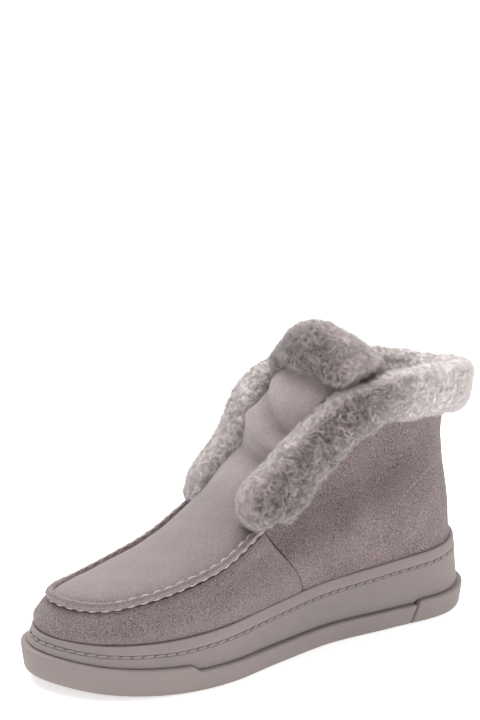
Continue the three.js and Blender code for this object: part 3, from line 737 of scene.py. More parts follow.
def cutAtSplit(mesh, side):
    # keeps the heel part (side 1) or the rest (side -1) and closes the cut
    solidMesh = bmesh.new()
    solidMesh.from_mesh(mesh)
    lean = math.atan(sole["splitSlant"])
    normal = Vector((0, math.cos(lean), -math.sin(lean)))
    place = Vector((0, sole["heelSplit"], 0)) + side * normal * sole["splitGap"] / 2
    everything = solidMesh.verts[:] + solidMesh.edges[:] + solidMesh.faces[:]
    bmesh.ops.bisect_plane(
        solidMesh, geom=everything, dist=1e-7, plane_co=place * mm, plane_no=-side * normal,
        clear_outer=True)
    openEdges = [line for line in solidMesh.edges if line.is_boundary]
    bmesh.ops.triangle_fill(solidMesh, edges=openEdges, use_beauty=True)
    bmesh.ops.recalc_face_normals(solidMesh, faces=solidMesh.faces)
    solidMesh.to_mesh(mesh)
    solidMesh.free()
    return mesh


def channelHeight(y):
    return lipHeight(y) - min(7, 0.5 * (lipHeight(y) - seatBand(y)))


def wallInset(y, z):
    # how far the cup's wall stands in at a height
    band, lip = seatBand(y) + 1.2, lipHeight(y)
    if z < lip - 3.4:
        return mix(2.6, 4.8, (z - band) / max(lip - 3.4 - band, 0.1))
    return mix(4.8, 5.2, min((z - lip + 3.4) / 2.6, 1))


def midsoleMesh():
    rings = [
        soleRing(5.5, lambda y: seatCore(y) + 0.4), soleRing(5.5, lambda y: seatBand(y) + 0.02),
        soleRing(3.0, lambda y: seatBand(y) + 0.02), soleRing(2.7, lambda y: seatBand(y) + 0.35),
        soleRing(2.6, lambda y: seatBand(y) + 1.2),
    ]
    half, depth = sole["channelHalf"], sole["channelDepth"]

    def wallRing(height, hollow=0.0):
        rings.append(soleRing(lambda y: wallInset(y, height(y)) + hollow, height))
    for share in (0.25, 0.5, 0.75, 0.95):
        wallRing(lambda y, share=share: mix(seatBand(y) + 1.2, channelHeight(y) - half, share))
    for offset, hollow in ((-1, 0), (-0.82, 0.12), (-0.6, 0.8), (0, 1), (0.6, 0.8), (0.82, 0.12), (1, 0)):
        wallRing(lambda y, offset=offset: channelHeight(y) + offset * half, hollow * depth)
    for share in (0.35, 0.7):
        wallRing(lambda y, share=share: mix(channelHeight(y) + half, lipHeight(y) - 0.8, share))
    rings += [
        soleRing(5.2, lambda y: lipHeight(y) - 0.8), soleRing(5.45, lambda y: lipHeight(y) - 0.2),
        soleRing(6.0, lipHeight), soleRing(7.3, lambda y: lipHeight(y) - 0.15),
        soleRing(7.7, lambda y: lipHeight(y) - 0.6), soleRing(7.7, lambda y: lipHeight(y) - 10.9),
    ]
    return loftRings("midsole", rings)


forepart = cutAtSplit(outsoleMesh("forepart", foreBand, lambda y: sole["cores"][0] + toeRise(y)), -1)
finishPiece("outsoleForepart", forepart, soleRubber, "root", ["outsole_forepart"])
heelPiece = cutAtSplit(outsoleMesh("heelPiece", lambda y: sole["bands"][2], lambda y: sole["cores"][1]), 1)
finishPiece("outsoleHeel", heelPiece, soleRubber, "root", ["outsole_heel"])
finishPiece("cupSole", midsoleMesh(), cupRubber, "root", ["midsole"])


def soleStitches():
    path, outwards = [], []
    for at, out in outlinePoints:
        height = channelHeight(at.y)
        point = at - out * (wallInset(at.y, height) + 0.3)
        path.append(Vector((point.x, point.y, height)) * mm)
        outwards.append(Vector((out.x, out.y, 0.08)).normalized())
    length = sum((b - a).length for a, b in zip(path, path[1:] + path[:1]))
    count = round(length / (sole["stitchPitch"] * mm))
    leaf = leafStitch(*(size * mm for size in sole["leaf"]), sole["leafSlant"])
    row = stitchRow(path, outwards, count, leaf, soleThreadMaterial, 0.05, 0.04, 7, True)
    return finishPiece("soleStitches", row, soleThreadMaterial, "root", ["sole_stitch"])


soleStitches()
print("sole made")


# ---- what lies inside, seen only when the boot is opened up ----

for nodeName, finish in (
    ("shank", steel), ("bottom_filler", corkMaterial), ("insole_board", boardMaterial),
    ("toe_puff", stiffMaterial), ("heel_counter", stiffMaterial),
):
    nodes[nodeName].data.materials.clear()
    nodes[nodeName].data.materials.append(finish)


# ---- moccasin seam ----

seam = {
    "outerOffset": (2.9, 1.2),     # where the CAD rows lie from the seam: across, up
    "innerOffset": (-4.9, 1.9),
    "stations": 420,
    "pitch": 6.6,
    "lift": 0.4,
    "sideWidth": 0.76,        # of the width at the toe
    "profile": [
        (-2.8, -1.4), (-3.3, -0.2), (-3.5, 0.8), (-3.2, 1.6), (-2.5, 2.15), (-2.0, 2.2), (-1.7, 1.85),
        (-1.4, 2.2), (-1.0, 2.35), (-0.7, 1.95), (-0.4, 2.35), (0.1, 2.2), (0.65, 1.7), (0.9, 0.9),
        (0.85, 0.0), (0.7, -1.0), (0.2, -2.6)],
    "scallop": 0.75,               # how much the inner edge swells between stitches
    "dash": (5.5, 0.8, 0.1, 0.9),        # length, width, arch, dip at the ends
    "loop": (5.6, 0.85, 0.4, 0.8),
}


def seamFrames():
    outer = rowCentres("moc_stitch_outer")
    inner = rowCentres("moc_stitch_inner")
    # both rows start at the outer side's throat end
    startOuter = max(outer, key=lambda p: p.y + 0.4 * p.x)
    startInner = max(inner, key=lambda p: p.y + 0.4 * p.x)
    outerPath, _ = alongPath(chained(outer, startOuter), seam["stations"])
    innerPath, _ = alongPath(chained(inner, startInner), seam["stations"])
    frames = []
    (outerAcross, outerUp), (innerAcross, innerUp) = seam["outerOffset"], seam["innerOffset"]
    lean = math.atan2(innerUp - outerUp, outerAcross - innerAcross)
    for i, (o, n) in enumerate(zip(outerPath, innerPath)):
        before, after = max(i - 3, 0), min(i + 3, len(outerPath) - 1)
        along = (outerPath[after] + innerPath[after] - outerPath[before] - innerPath[before]).normalized()
        straight = (o - n)
        straight = (straight - along * straight.dot(along)).normalized()
        up = along.cross(straight)
        if up.z < 0:
            up.negate()
        across = straight * math.cos(lean) + up * math.sin(lean)
        square = up * math.cos(lean) - straight * math.sin(lean)
        middle = o - across * outerAcross * mm - square * outerUp * mm
        frames.append((middle, along, across, square))
    return frames


mocFrames = seamFrames()
mocLength = sum((b[0] - a[0]).length for a, b in zip(mocFrames, mocFrames[1:]))
mocCount = round(mocLength / (seam["pitch"] * mm))


def seamPlace(frameHere, across, up):
    middle, _, side, top = frameHere
    return middle + side * across * mm + top * up * mm


def mocRidge():
    points = []
    for i, here in enumerate(mocFrames):
        phase = i / (len(mocFrames) - 1) * (mocCount - 1)
        swell = abs(math.sin(math.pi * phase)) ** 0.45     # 0 at each stitch hole
        jitter = 0.18 * rough(here[0], 9 * mm, 4.0)
        slim = mix(1.0, seam["sideWidth"], ease(-0.122, -0.09, here[0].y))
        for across, up in seam["profile"]:
            across = 0.9 + (across - 0.9) * slim
            up += seam["lift"]
            inward = ease(0.8, 3.6, -across)
            outward = ease(0.3, 0.8, across) * ease(-2.0, -0.5, up)
            shiftAcross = -inward * seam["scallop"] * (swell - 0.5) + outward * 0.8 * (swell - 0.7)
            lift = (0.22 * (swell - 0.5) + jitter) * ease(0.0, 2.5, up)
            points.append(seamPlace(here, across + shiftAcross, up + lift))
    mesh = meshFrom("mocRidge", points, tubeFaces(0, len(mocFrames), len(seam["profile"])))
    turnOutwards(mesh)
    return finishPiece("mocSeamRidge", mesh, ridgeSuede, "root", ["moc_seam_ridge"])


mocRidge()


def mocStitches():
    # outer dashes run low along the ridge, inner loops come over its edge
    outerPath = [seamPlace(f, 1.05, 0.45) for f in mocFrames]
    outerOut = [(f[2] * 0.9 + f[3] * 0.35).normalized() for f in mocFrames]
    dash = twistedStitch(*(size * mm for size in seam["dash"]))
    row = stitchRow(outerPath, outerOut, mocCount, dash, threadMaterial, 0.05, 0.05, 11)
    finishPiece("mocStitchesOuter", row, threadMaterial, "root", ["moc_stitch_outer"])
    innerPath = []
    for f in mocFrames:
        raised = ease(-0.122, -0.1, f[0].y)      # the loops are drawn in around the toe
        innerPath.append(seamPlace(f, mix(-2.5, -2.45, raised), mix(0.7, 1.65, raised)))
    innerOut = [(-f[2] * 0.75 + f[3] * 0.65).normalized() for f in mocFrames]
    loop = twistedStitch(*(size * mm for size in seam["loop"]), plies=3, spread=0.6)
    row = stitchRow(innerPath, innerOut, mocCount, loop, threadMaterial, 0.08, 0.08, 12)
    finishPiece("mocStitchesInner", row, threadMaterial, "root", ["moc_stitch_inner"])


mocStitches()
stitchHoles = KDTree(mocCount)
for hole in range(mocCount):
    station = round((hole + 0.5) / mocCount * (len(mocFrames) - 1))
    stitchHoles.insert(mocFrames[station][0], hole)
stitchHoles.balance()
print("moccasin seam made")


# ---- suede skins ----

skins = {
    "lipFullness": 1.0,
    "levels": 3,
    "creaseAngle": 42,
    "edgeCrease": 1.0,
    "seamGap": 0.45,
    "wrinkle": 0.28,      # millimetres
    "wrinkleSize": 11,
    "pucker": 0.55,
    "puckerReach": 3.6,
}


def puckered(point):
    _, _, distance = stitchHoles.find(point)
    return -skins["pucker"] * mm * math.exp(-(distance / (skins["puckerReach"] * mm) - 0.8) ** 2 * 2)


def wrinkled(point):
    size = skins["wrinkleSize"] * mm
    return skins["wrinkle"] * mm * (rough(point, size, 1.0) + 0.5 * rough(point, size * 0.4, 2.0))


def lipFullness(point):
    # the upper stands full where it comes out of the cup
    above = point.z / mm - lipHeight(point.y / mm)
    return skins["lipFullness"] * mm * math.exp(-((above - 1.5) / 4) ** 2)


def skinMesh(solidMesh, extra=lambda point: 0.0):
    creaseSharp(solidMesh, skins["creaseAngle"], skins["edgeCrease"])
    mesh = meshOf(solidMesh, "skin")
    mesh = withModifiers(mesh, [("SUBSURF", {"levels": skins["levels"], "render_levels": skins["levels"]})])
    pushOut(mesh, lambda point, normal: wrinkled(point) + lipFullness(point) + extra(point))
    return mesh


def closeSideSeams(mesh):
    # the wrap's ends come up to the quarters, so that only a thin line stays between them
    quarters = [treeOf(nodes[f"quarter_{side}"].data) for side in ("lateral", "medial")]
    places = coordinates(mesh)
    for i, place in enumerate(places):
        point = Vector(place)
        for surface in quarters:
            found, _, _, distance = surface.find_nearest(point, 5 * mm)
            if found is not None and distance > skins["seamGap"] * mm:
                share = 1 - ease(1.6 * mm, 5 * mm, distance)
                places[i] += (found - point) * share * (1 - skins["seamGap"] * mm / distance)
    setCoordinates(mesh, places)


def wrapFullness(point):
    # the wrap stands out under the seam's ridge instead of dipping
    _, _, distance = stitchHoles.find(point)
    return (1.1 * math.exp(-((distance / mm - 5.5) / 4) ** 2)) * mm + 0.5 * puckered(point)


def closeBackSeam(mesh, gap):
    # ends at the heel come together in the middle
    places = coordinates(mesh)
    for i, place in enumerate(places):
        reach = abs(place[0]) / mm
        if place[1] > 0.1 and reach < 6:
            share = 1 - ease(2, 6, reach)
            side = 1 if place[0] > 0 else -1
            places[i][0] -= share * (place[0] - side * min(gap, reach) * mm)
    setCoordinates(mesh, places)


wrapSkin = skinMesh(quadCopy("vamp_wrap"), wrapFullness)
closeSideSeams(wrapSkin)
finishPiece("vampWrapSkin", wrapSkin, suede, "root", ["vamp_wrap"])
for side in ("lateral", "medial"):
    quarterSkin = skinMesh(quadCopy(f"quarter_{side}"))
    closeBackSeam(quarterSkin, 0.12)
    # painted shadow of the cuff: a broad darker band under it
    paintedShading = []
    for place in coordinates(quarterSkin):
        level = place[2] / mm - mix(66, 96, (place[1] / mm) / 90) + 5 * rough(place, 25 * mm, 41.0)
        paintedShading.append(math.exp(-(level / 17) ** 2) * (1 - ease(0.07, 0.12, place[1])))
    floatAttribute(quarterSkin, "paintedShading", paintedShading)
    finishPiece(f"quarterSkin_{side}", quarterSkin, quarterSuede, "root", [f"quarter_{side}"])
print("wrap and quarters made")


# ---- apron and tongue, one piece of suede ----

topShape = {
    "crown": ([0, 0.1, 0.3, 0.6, 1], [0, 4, 8, 9, 12]),
    "lean": ([0, 0.3, 0.7, 1], [-0.2, -0.3, -0.42, -0.5]),
    "tongueLine": [
        (0.5, -24.2, 86.4), (0.8, -12, 96), (1, -2, 108), (1.2, 6, 121), (1.5, 15.5, 136), (2.3, 28, 151.5),
        (3.2, 43, 165)],
    "tongueHalf": ([0, 0.25, 0.6, 1], [24, 22, 22.3, 26.5]),
    "tongueBack": ([0, 0.3, 0.75, 1], [0.5, 0.75, 0.85, 0.6]),
    "tongueDrop": ([0, 0.3, 0.7, 1], [12, 14, 19, 33]),
    "twist": 0.15,
    "thickness": 1.4,
    "apronRows": (
        0.006, 0.025, 0.055, 0.095, 0.145, 0.2, 0.27, 0.35, 0.44, 0.53, 0.62, 0.71, 0.8, 0.88, 0.94),
    "tongueRows": (0.1, 0.17, 0.25, 0.34, 0.43, 0.52, 0.61, 0.7, 0.79, 0.88, 0.95, 1.0),
    "columns": 40,
    "between": 5,
    "bendStart": (0, -0.027, 0.084),
    "bendEnd": (0, -0.014, 0.095),
}


def through(table, x):
    # a smooth curve of one variable through given values
    places, values = table
    last = len(places) - 1
    if x <= places[0]:
        return values[0]
    if x >= places[last]:
        return values[last]

    def slope(i):
        a, b = max(i - 1, 0), min(i + 1, last)
        return (values[b] - values[a]) / (places[b] - places[a])
    i = 0
    while x > places[i + 1]:
        i += 1
    span = places[i + 1] - places[i]
    t = (x - places[i]) / span
    h = t * t * (3 - 2 * t)
    return (values[i] * (1 - h) + values[i + 1] * h
            + span * (slope(i) * t * (1 - t) ** 2 - slope(i + 1) * t * t * (1 - t)))


def curveAt(corners, share):
    # point on a smooth open curve
    steps = len(corners) - 1
    where = min(share, 0.99999) * steps
    i = int(where)
    b, c = Vector(corners[i]), Vector(corners[i + 1])
    a = Vector(corners[i - 1]) if i else 2 * b - c
    d = Vector(corners[i + 2]) if i + 2 <= steps else 2 * c - b
    return curvePoint(a, b, c, d, where % 1)


def seamMiddle(share):
    where = share * (len(mocFrames) - 1)
    i = min(int(where), len(mocFrames) - 2)
    return mocFrames[i][0].lerp(mocFrames[i + 1][0], where - i)


def apronPoint(s, u):
    outer, inner = seamMiddle((1 - s) / 2), seamMiddle((1 + s) / 2)
    lean = through(topShape["lean"], s)
    up = Vector((0, lean, math.sqrt(1 - lean * lean)))
    point = inner.lerp(outer, (1 + u) / 2)
    return point + up * through(topShape["crown"], s) * (1 - abs(u) ** 2.2) * mm


def tonguePoint(t, u):
    x = u * through(topShape["tongueHalf"], t)
    at = curveAt(topShape["tongueLine"], t)
    back = through(topShape["tongueBack"], t)
    fall = through(topShape["tongueDrop"], t) * (abs(x) / 36) ** 2.1
    down = Vector((0, back, -math.sqrt(1 - back * back)))
    return (at + Vector((x, topShape["twist"] * t * t * x, 0)) + down * fall) * mm


def topSkinMesh():
    columns = [2 * k / topShape["columns"] - 1 for k in range(topShape["columns"] + 1)]
    rows = [[apronPoint(s, u) for u in columns] for s in topShape["apronRows"]]
    rows += [[tonguePoint(t, u) for u in columns] for t in topShape["tongueRows"]]
    dense = []
    for r in range(len(rows) - 1):
        for k in range(topShape["between"]):
            t = k / topShape["between"]
            row = []
            for j in range(len(columns)):
                b, c = rows[r][j], rows[r + 1][j]
                a = rows[r - 1][j] if r else 2 * b - c
                d = rows[r + 2][j] if r + 2 < len(rows) else 2 * c - b
                before, span, after = (b - a).length, (c - b).length, (d - c).length
                leave = (c - a) * span / max(before + span, 1e-9)
                arrive = (d - b) * span / max(after + span, 1e-9)
                h = t * t * (3 - 2 * t)
                row.append(b * (1 - h) + c * h + leave * t * (1 - t) ** 2 - arrive * t * t * (1 - t))
            dense.append(row)
    dense.append(rows[-1])
    width = len(columns)
    points = [p for row in dense for p in row]
    faces = [(r * width + k, r * width + k + 1, (r + 1) * width + k + 1, (r + 1) * width + k)
             for r in range(len(dense) - 1) for k in range(width - 1)]
    mesh = meshFrom("topSkin", points, faces)
    if sum(v.normal.z for v in mesh.vertices) < 0:
        mesh.flip_normals()
    pushOut(mesh, lambda point, normal: wrinkled(point) + tongueFold(point) + puckered(point))
    return withModifiers(mesh, [
        ("SOLIDIFY", {"thickness": topShape["thickness"] * mm, "offset": -1, "use_even_offset": False}),
        ("SUBSURF", {"levels": 1, "render_levels": 1}),
    ])


folds = [
    # rise above the throat along Z, slant with x, height, width: soft rolls and hollows of the tongue
    (12, 0.0, 1.6, 6.0), (24, -0.05, -1.6, 3.6), (34, -0.25, 3.9, 5.0), (45, -0.45, -2.1, 3.6),
    (58, -0.2, 1.2, 8.0),
]


def tongueFold(point):
    rise = (point.z - 0.082) / mm
    if rise < -12:
        return 0.0
    push = 0.0
    for height, slant, tall, wide in folds:
        away = rise - height - slant * point.x / mm + 1.5 * rough(point, 22 * mm, 6.0)
        push += tall * math.exp(-(away / wide) ** 2)
    return push * mm


topSkin = topSkinMesh()
topPiece = newObject("apronAndTongueSkin", topSkin)
# painted shading: darker on the apron away from the toe, painted shade in the tongue's fold hollows and
# painted light on their crests, painted light on the upper tongue
paintedShading = []
for place in coordinates(topSkin):
    apronShare = 0.28 * ease(-0.1, -0.045, place[1]) * (1 - ease(0.084, 0.1, place[2]))
    hollowShare = 0.65 * min(1, max(-0.5, -tongueFold(Vector(place)) / (2.1 * mm)))
    paintedShading.append(apronShare + hollowShare - 0.6 * ease(0.115, 0.15, place[2]))
floatAttribute(topSkin, "paintedShading", paintedShading)
topSkin.materials.clear()
topSkin.materials.append(apronSuede)
topSkin.shade_smooth()
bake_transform(topPiece)
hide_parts("apron", "tongue")
print("apron and tongue made")


# ---- counter stitches ----

counterRow = {"pitch": 2.9, "stitch": (2.0, 0.34, 0.08, 0.4)}      # length, width, arch, dip


def counterStitches(side):
    centres = rowCentres(f"counter_stitch_{side}")
    path, length = alongPath(chained(centres, min(centres, key=lambda p: p.z)), 90)
    skin = bpy.data.objects[f"quarterSkin_{side}"].data
    surface = treeOf(skin)
    placed, outwards = [], []
    for point in path:
        found, normal, _, _ = surface.find_nearest(point)
        if normal.dot(Vector((point.x, 0, 0))) < 0:
            normal = -normal
        placed.append(found + normal * 0.12 * mm)
        outwards.append(normal)
    stitch = twistedStitch(*(size * mm for size in counterRow["stitch"]), rings=5)
    count = round(length / (counterRow["pitch"] * mm))
    row = stitchRow(placed, outwards, count, stitch, counterThreadMaterial, 0.05, 0.05, 21)
    finishPiece(f"counterStitches_{side}", row, counterThreadMaterial, "root",
                [f"counter_stitch_{side}"])


counterStitches("lateral")
counterStitches("medial")
print("counter stitches made")


# ---- sheepskin ----

def makeTuftTree():
    tree, start, end = newTree("GeometryNodeTree", "pileTufts", [
        ("Skin", "Geometry", None), ("Density", "Float", 100000.0), ("Tuft", "Object", None),
        ("Lay", "Float", 0.6), ("Wander", "Float", 2.0), ("Wander Size", "Float", 0.006),
        ("Sink", "Float", 0.001), ("Smallest", "Float", 0.7), ("Largest", "Float", 1.2), ("Seed", "Int", 5),
        ("Material", "Material", None),
    ], [("Pile", "Geometry")])
    grow = addNode(tree, "GeometryNodeInputNamedAttribute", {"Name": "grow"}, data_type="FLOAT")
    spread = addNode(tree, "GeometryNodeDistributePointsOnFaces", {
        "Mesh": start["Skin"], "Seed": start["Seed"],
        "Density": mathNode(tree, "MULTIPLY", grow.outputs["Attribute"], start["Density"]),
    }, distribute_method="RANDOM").outputs
    comb = addNode(tree, "GeometryNodeInputNamedAttribute", {"Name": "comb"}, data_type="FLOAT_VECTOR")
    wave = addNode(tree, "ShaderNodeTexNoise", {
        "Detail": 1.0, "Vector": addNode(tree, "GeometryNodeInputPosition").outputs[0],
        "Scale": mathNode(tree, "DIVIDE", 1.0, start["Wander Size"])}).outputs["Color"]
    centred = vectorNode(tree, "SUBTRACT", wave, (0.5, 0.5, 0.5))
    wandering = vectorNode(tree, "SCALE", centred, start["Wander"])
    laid = vectorNode(tree, "SCALE", comb.outputs["Attribute"], start["Lay"])
    direction = vectorNode(tree, "ADD", vectorNode(tree, "ADD", spread["Normal"], laid), wandering)
    stand = addNode(tree, "FunctionNodeAlignRotationToVector", {"Vector": direction}, axis="Z")
    spin = addNode(tree, "FunctionNodeRandomValue", {
        "Min": (-0.25, -0.25, 0), "Max": (0.25, 0.25, 2 * math.pi), "Seed": start["Seed"],
    }, data_type="FLOAT_VECTOR")
    spun = addNode(tree, "FunctionNodeEulerToRotation", {0: spin.outputs[0]})
    turned = addNode(tree, "FunctionNodeRotateRotation", {
        0: stand.outputs[0], 1: spun.outputs[0]}, rotation_space="LOCAL")
    size = addNode(tree, "FunctionNodeRandomValue", {
        2: start["Smallest"], 3: start["Largest"]}, data_type="FLOAT")
    shape = addNode(tree, "GeometryNodeObjectInfo", {"Object": start["Tuft"]}).outputs["Geometry"]
    down = vectorNode(tree, "SCALE", spread["Normal"], mathNode(tree, "MULTIPLY", start["Sink"], -1.0))
    sunk = addNode(tree, "GeometryNodeSetPosition", {"Geometry": spread["Points"], "Offset": down})
    placed = addNode(tree, "GeometryNodeInstanceOnPoints", {
        "Points": sunk.outputs["Geometry"], "Instance": shape, "Rotation": turned.outputs[0],
        "Scale": size.outputs[1]})
    shade = addNode(tree, "FunctionNodeRandomValue", data_type="FLOAT").outputs[1]
    stored = addNode(tree, "GeometryNodeStoreNamedAttribute", {
        "Name": "shade", "Geometry": placed.outputs["Instances"], "Value": shade,
    }, data_type="FLOAT", domain="INSTANCE")
    real = addNode(tree, "GeometryNodeRealizeInstances", {"Geometry": stored.outputs["Geometry"]})
    both = addNode(tree, "GeometryNodeJoinGeometry", {"Geometry": start["Skin"]})
    tree.links.new(real.outputs["Geometry"], both.inputs["Geometry"])
    painted = addNode(tree, "GeometryNodeSetMaterial", {
        "Geometry": both.outputs["Geometry"], "Material": start["Material"]})
    setInputs(end, {"Pile": painted.outputs["Geometry"]})
    return tree


tuftTree = makeTuftTree()


# A tuft is a lock of fine hairs that stand round a middle and lean over together.
def tuftMesh(length, thick, hairs, spread, hook, seed):
    random = np.random.default_rng(seed)
    points, faces, tips = [], [], []
    for hair in range(hairs):
        turn = 2 * math.pi * (hair + random.uniform(0, 0.7)) / hairs
        root = Vector((math.cos(turn), math.sin(turn), 0)) * spread * math.sqrt(random.uniform(0.1, 1))
        tall = length * random.uniform(0.75, 1.1)
        gather = random.uniform(0.0, 0.45)
        sideways = random.uniform(-0.25, 0.25) * hook
        base = len(points)
        for s in range(3):
            angle = turn + 2 * math.pi * s / 3
            points.append(root + Vector((math.cos(angle), math.sin(angle), 0)) * thick / 2)
            tips.append(0.0)
        points.append(root * (1 - gather) + Vector((hook, sideways, tall * 0.9)))
        tips.append(1.0)
        for s in range(3):
            faces.append((base + s, base + (s + 1) % 3, base + 3))
        faces.append((base + 2, base + 1, base))
    mesh = meshFrom("tuft", points, faces)
    floatAttribute(mesh, "tip", tips)
    turnOutwards(mesh)
    return mesh


skinCloth = {
    "quality": 5, "mass": 0.2, "tension_stiffness": 12, "compression_stiffness": 12, "bending_stiffness": 0.6,
    "use_pressure": True, "uniform_pressure_force": 4,
}


def puffed(mesh, cap, frames=20):
    # swells the closed body a little with a short cloth simulation
    piece = newObject("puffing", mesh)
    before = coordinates(mesh)
    cloth = piece.modifiers.new("cloth", "CLOTH")
    for key, value in skinCloth.items():
        setattr(cloth.settings, key, value)
    cloth.settings.effector_weights.gravity = 0
    cloth.point_cache.frame_start = 1
    cloth.point_cache.frame_end = frames
    for step in range(1, frames + 1):
        scene.frame_set(step)
    made = frozen(piece)
    removeObject(piece)
    scene.frame_set(1)
    moved = coordinates(made) - before
    far = np.linalg.norm(moved, axis=1, keepdims=True)
    setCoordinates(made, before + moved * np.minimum(1, cap / np.maximum(far, 1e-9)))
    return made


def curlHeight(point, size, grain):
    # winding crests of wool, 0 in the gaps and 1 on top; the crests are long along grain
    bent = point + Vector((rough(point, size * 1.2, 3.0), rough(point, size * 1.2, 8.0),
                           rough(point, size * 1.2, 12.0))) * size * 0.7
    bent -= grain * (bent.dot(grain) * 0.35)
    return ease(0.0, 1.0, 1 - 2.4 * abs(rough(bent, size, 21.0)))


def noSwell(point, normal):
    return 0.0


def curlPile(mesh, values, zoneAt, swellAt, avoid):
    # raises the curls, and stores the painted shade of the curls' gaps, the painted light of each zone and
    # what the tufts need
    surface = treeOf(nodes[avoid].data) if avoid else None
    grain = Vector(values["grain"]).normalized()
    size = values["curl"] * mm
    stored = {"curl": [], "paintedLight": [], "grow": []}
    comb = []

    def raised(point, normal):
        light, curly = zoneAt(point, normal)
        tall = curlHeight(point, size, grain)
        fine = 0.5 + 0.5 * rough(point, size * 0.45, 5.0)
        broad = rough(point, 13 * mm, 14.0) * values["lumps"] + swellAt(point, normal)
        hollow = ease(-0.5, 0.5, rough(point, size * 3, 31.0))
        deep = (tall * 0.6 + fine * 0.25 + 0.15) * mix(0.55, 1.0, hollow)
        hidden = surface and surface.ray_cast(point, normal, 4.5 * mm)[0] is not None
        # painted shade in the gaps between curls where the pile curls deeply
        stored["curl"].append(mix(0.75 + 0.2 * fine, deep, curly))
        stored["paintedLight"].append(light)
        stored["grow"].append(0.0 if hidden else 1.0)
        comb.extend(combedDown(normal))
        return ((tall * 0.7 + fine * 0.3) * values["curlHeight"] * mix(0.4, 1.0, curly) + broad) * mm
    pushOut(mesh, raised)
    count = len(mesh.vertices)
    for label, numbers in {**stored, "tip": [0.3] * count, "shade": [0.5] * count}.items():
        floatAttribute(mesh, label, numbers)
    mesh.attributes.new("comb", "FLOAT_VECTOR", "POINT").data.foreach_set("vector", comb)


def combedDown(normal):
    down = Vector((0, 0.25, -1))
    flat = down - normal * down.dot(normal)
    return flat if flat.length < 1e-6 else flat.normalized()


def tufted(mesh, values, material):
    piece = newObject("fleece", mesh)
    tuft = newObject("tuft", tuftMesh(
        values["tuftLength"] * mm, values["tuftThick"] * mm, values["locks"], values["tuftSpread"] * mm,
        values["hook"] * mm, values["seed"]))
    nodesModifier(piece, tuftTree, {
        "Density": float(values["density"]) / (mm * mm), "Tuft": tuft, "Lay": values["lay"],
        "Wander": values["wander"], "Wander Size": values["wanderSize"] * mm,
        "Sink": values["sink"] * mm, "Smallest": 0.7, "Largest": 1.2, "Seed": values["seed"],
        "Material": material})
    made = frozen(piece)
    removeObject(piece)
    removeObject(tuft)
    return made


def fleecePiece(name, node, body, material, values, zoneAt, avoid=None, swellAt=noSwell, moved=None):
    mesh = withModifiers(meshOf(mergedCopy(node), name), [
        ("REMESH", {"mode": "VOXEL", "voxel_size": values["voxel"] * mm}),
        ("SMOOTH", {"factor": 0.5, "iterations": values["smoothing"]}),
    ])
    pushOut(mesh, lambda point, normal: -values["shrink"] * mm)
    mesh = puffed(mesh, values["puff"] * mm)
    mesh = withModifiers(mesh, [("SUBSURF", {"levels": 1, "render_levels": 1})])
    if values["backGap"] is not None:
        closeBackSeam(mesh, values["backGap"])
    if moved:
        setCoordinates(mesh, np.array([moved(Vector(place)) for place in coordinates(mesh)]))
    curlPile(mesh, values, zoneAt, swellAt, avoid)
    if values["density"]:
        mesh = tufted(mesh, values, material)
    piece = finishPiece(name, mesh, material, body, [node])
    print(name, "made with", len(mesh.polygons), "faces")


cuffs = {
    "voxel": 1.2, "smoothing": 14, "shrink": 0.6, "puff": 1.4, "curl": 2.3, "curlHeight": 1.9, "lumps": 1.8,
    "grain": (0.2, -0.5, 1.0), "density": 0.5, "tuftLength": 2.8, "tuftThick": 0.15, "locks": 9,
    "tuftSpread": 1.3, "hook": 0.9, "lay": 0.45, "wander": 1.4, "wanderSize": 3.0, "sink": 0.4, "seed": 5,
    "backGap": 0.05,
}
tongueTop = {**cuffs, "grain": (0, -0.4, 1.0), "lay": 0.7, "seed": 9, "backGap": None}
linings = {
    "voxel": 2.2, "smoothing": 3, "shrink": 0.9, "puff": 0.7, "curl": 3.4, "curlHeight": 1.3, "lumps": 0.3,
    "grain": (0, 0, 1.0), "density": 0.0, "tuftLength": 2.0, "tuftThick": 0.19, "locks": 7,
    "tuftSpread": 1.3, "hook": 0.9, "lay": 0.3, "wander": 1.6, "wanderSize": 3.0, "sink": 0.4, "seed": 15,
    "backGap": None,
}
shaftLinings = {**linings, "density": 0.15, "backGap": 0.05}
footbed = {**linings, "density": 0.15, "seed": 19}


fullness = {                       # millimetres
    "front": 2.4, "pinch": -1.2, "heel": 3.0, "uneven": 1.5,
    "innerFront": 2.6, "tongue": 1.6, "tongueTop": 1.2, "behindTongue": -2.4,
}


def lateralSwell(point, normal):
    # full at the front end, pinched at the side, and tall again around the heel
    front = fullness["front"] * (1 - ease(-0.012, 0.03, point.y))
    pinch = fullness["pinch"] * math.exp(-((point.y - 0.05) / 0.011) ** 2)
    heel = fullness["heel"] * ease(0.058, 0.085, point.y) * max(0, normal.z)
    return front + pinch + heel + fullness["uneven"] * rough(point, 20 * mm, 17.0)


def medialSwell(point, normal):
    return fullness["innerFront"] * ease(0.078, 0.1, point.z) * (1 - ease(0.118, 0.14, point.z))


def tongueSwell(point, normal):
    return fullness["tongue"] + fullness["tongueTop"] * max(0, normal.z)


def tongueLiningSwell(point, normal):
    # room for the tongue's hollows in front of the lining
    return fullness["behindTongue"] * ease(0.1, 0.5, -normal.y)


# Zones of a piece: how much painted light the pile gets, and how deeply it curls.
def outerCuffZone(point, normal):
    back = ease(0.035, 0.085, point.y)
    facing = ease(0.1, 0.95, normal.x) * (1 - 0.85 * back)
    # painted light: paler towards the back, on upward faces and where the cuff turns away from +x
    return min(1.0, 0.2 * (1 - facing) + back * 0.75 + 0.1 * ease(0.5, 0.95, normal.z)), facing


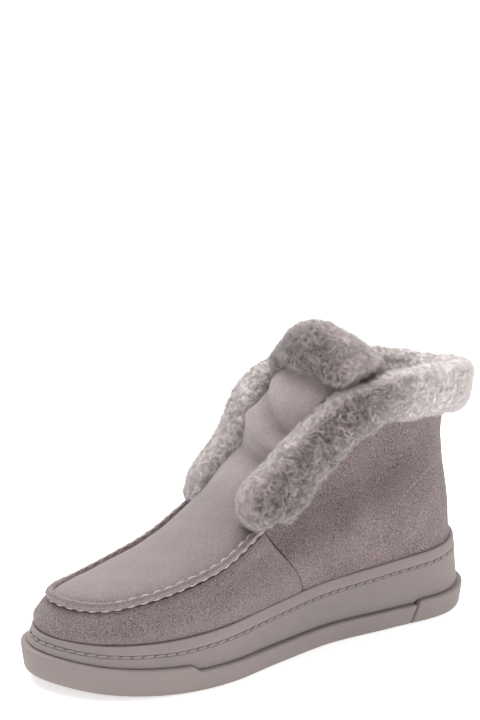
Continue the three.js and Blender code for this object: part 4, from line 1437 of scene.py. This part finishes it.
def innerCuffZone(point, normal):
    back = ease(0.035, 0.085, point.y)
    facing = ease(0.1, 0.9, -normal.x) * (1 - 0.85 * back)
    # painted light: paler except where the cuff faces -x
    return 1 - 0.8 * facing, mix(0.3, 1.0, facing)


def tongueCuffZone(point, normal):
    facing = ease(0.1, 0.9, -normal.y)
    # painted light: paler away from the front face
    return 0.2 * (1 - facing), facing


def liningZone(point, normal):
    return 0.6, 0.5


# The front ends of the side cuffs hang lower, and the tongue's cuff is drawn in at its inner end.
def outerHang(point):
    return point + Vector((1.0, -1.0, -2.5)) * mm * (1 - ease(-0.02, 0.03, point.y))


def innerHang(point):
    return point + Vector((0.5, -4.0, -5.5)) * mm * (1 - ease(-0.02, 0.03, point.y))


def drawnIn(point):
    return point + Vector((1, 0, 0)) * mix(7.0, 2.0, ease(-0.03, -0.004, point.x)) * mm


for side, zone, swelling, hang in (
    ("lateral", outerCuffZone, lateralSwell, outerHang), ("medial", innerCuffZone, medialSwell, innerHang),
):
    fleecePiece(f"cuffPile_{side}", f"cuff_{side}", "root", cuffPile, cuffs, zone, f"quarter_{side}",
                swelling, hang)
fleecePiece("tongueCuffPile", "tongue_cuff", "tongue", cuffPile, tongueTop, tongueCuffZone, "tongue",
            tongueSwell, drawnIn)
fleecePiece("tongueLiningPile", "tongue_lining", "tongue", liningPile, linings, liningZone, "tongue",
            tongueLiningSwell)
for side in ("lateral", "medial"):
    fleecePiece(f"shaftLiningPile_{side}", f"quarter_lining_{side}", "root", liningPile, shaftLinings,
                liningZone, f"quarter_{side}")
fleecePiece("forefootLiningPile", "vamp_lining", "root", liningPile, linings, liningZone)
fleecePiece("footbedPile", "footbed_fleece", "root", liningPile, footbed, liningZone)


def footbedFoam():
    mesh = withModifiers(meshOf(quadCopy("footbed_foam"), "footbedFoam"), [
        ("REMESH", {"mode": "VOXEL", "voxel_size": 1.5 * mm}), ("SMOOTH", {"factor": 0.5, "iterations": 3})])
    piece = finishPiece("footbedFoamSheet", mesh, foamMaterial, "root", ["footbed_foam"])


footbedFoam()
print("sheepskin made")
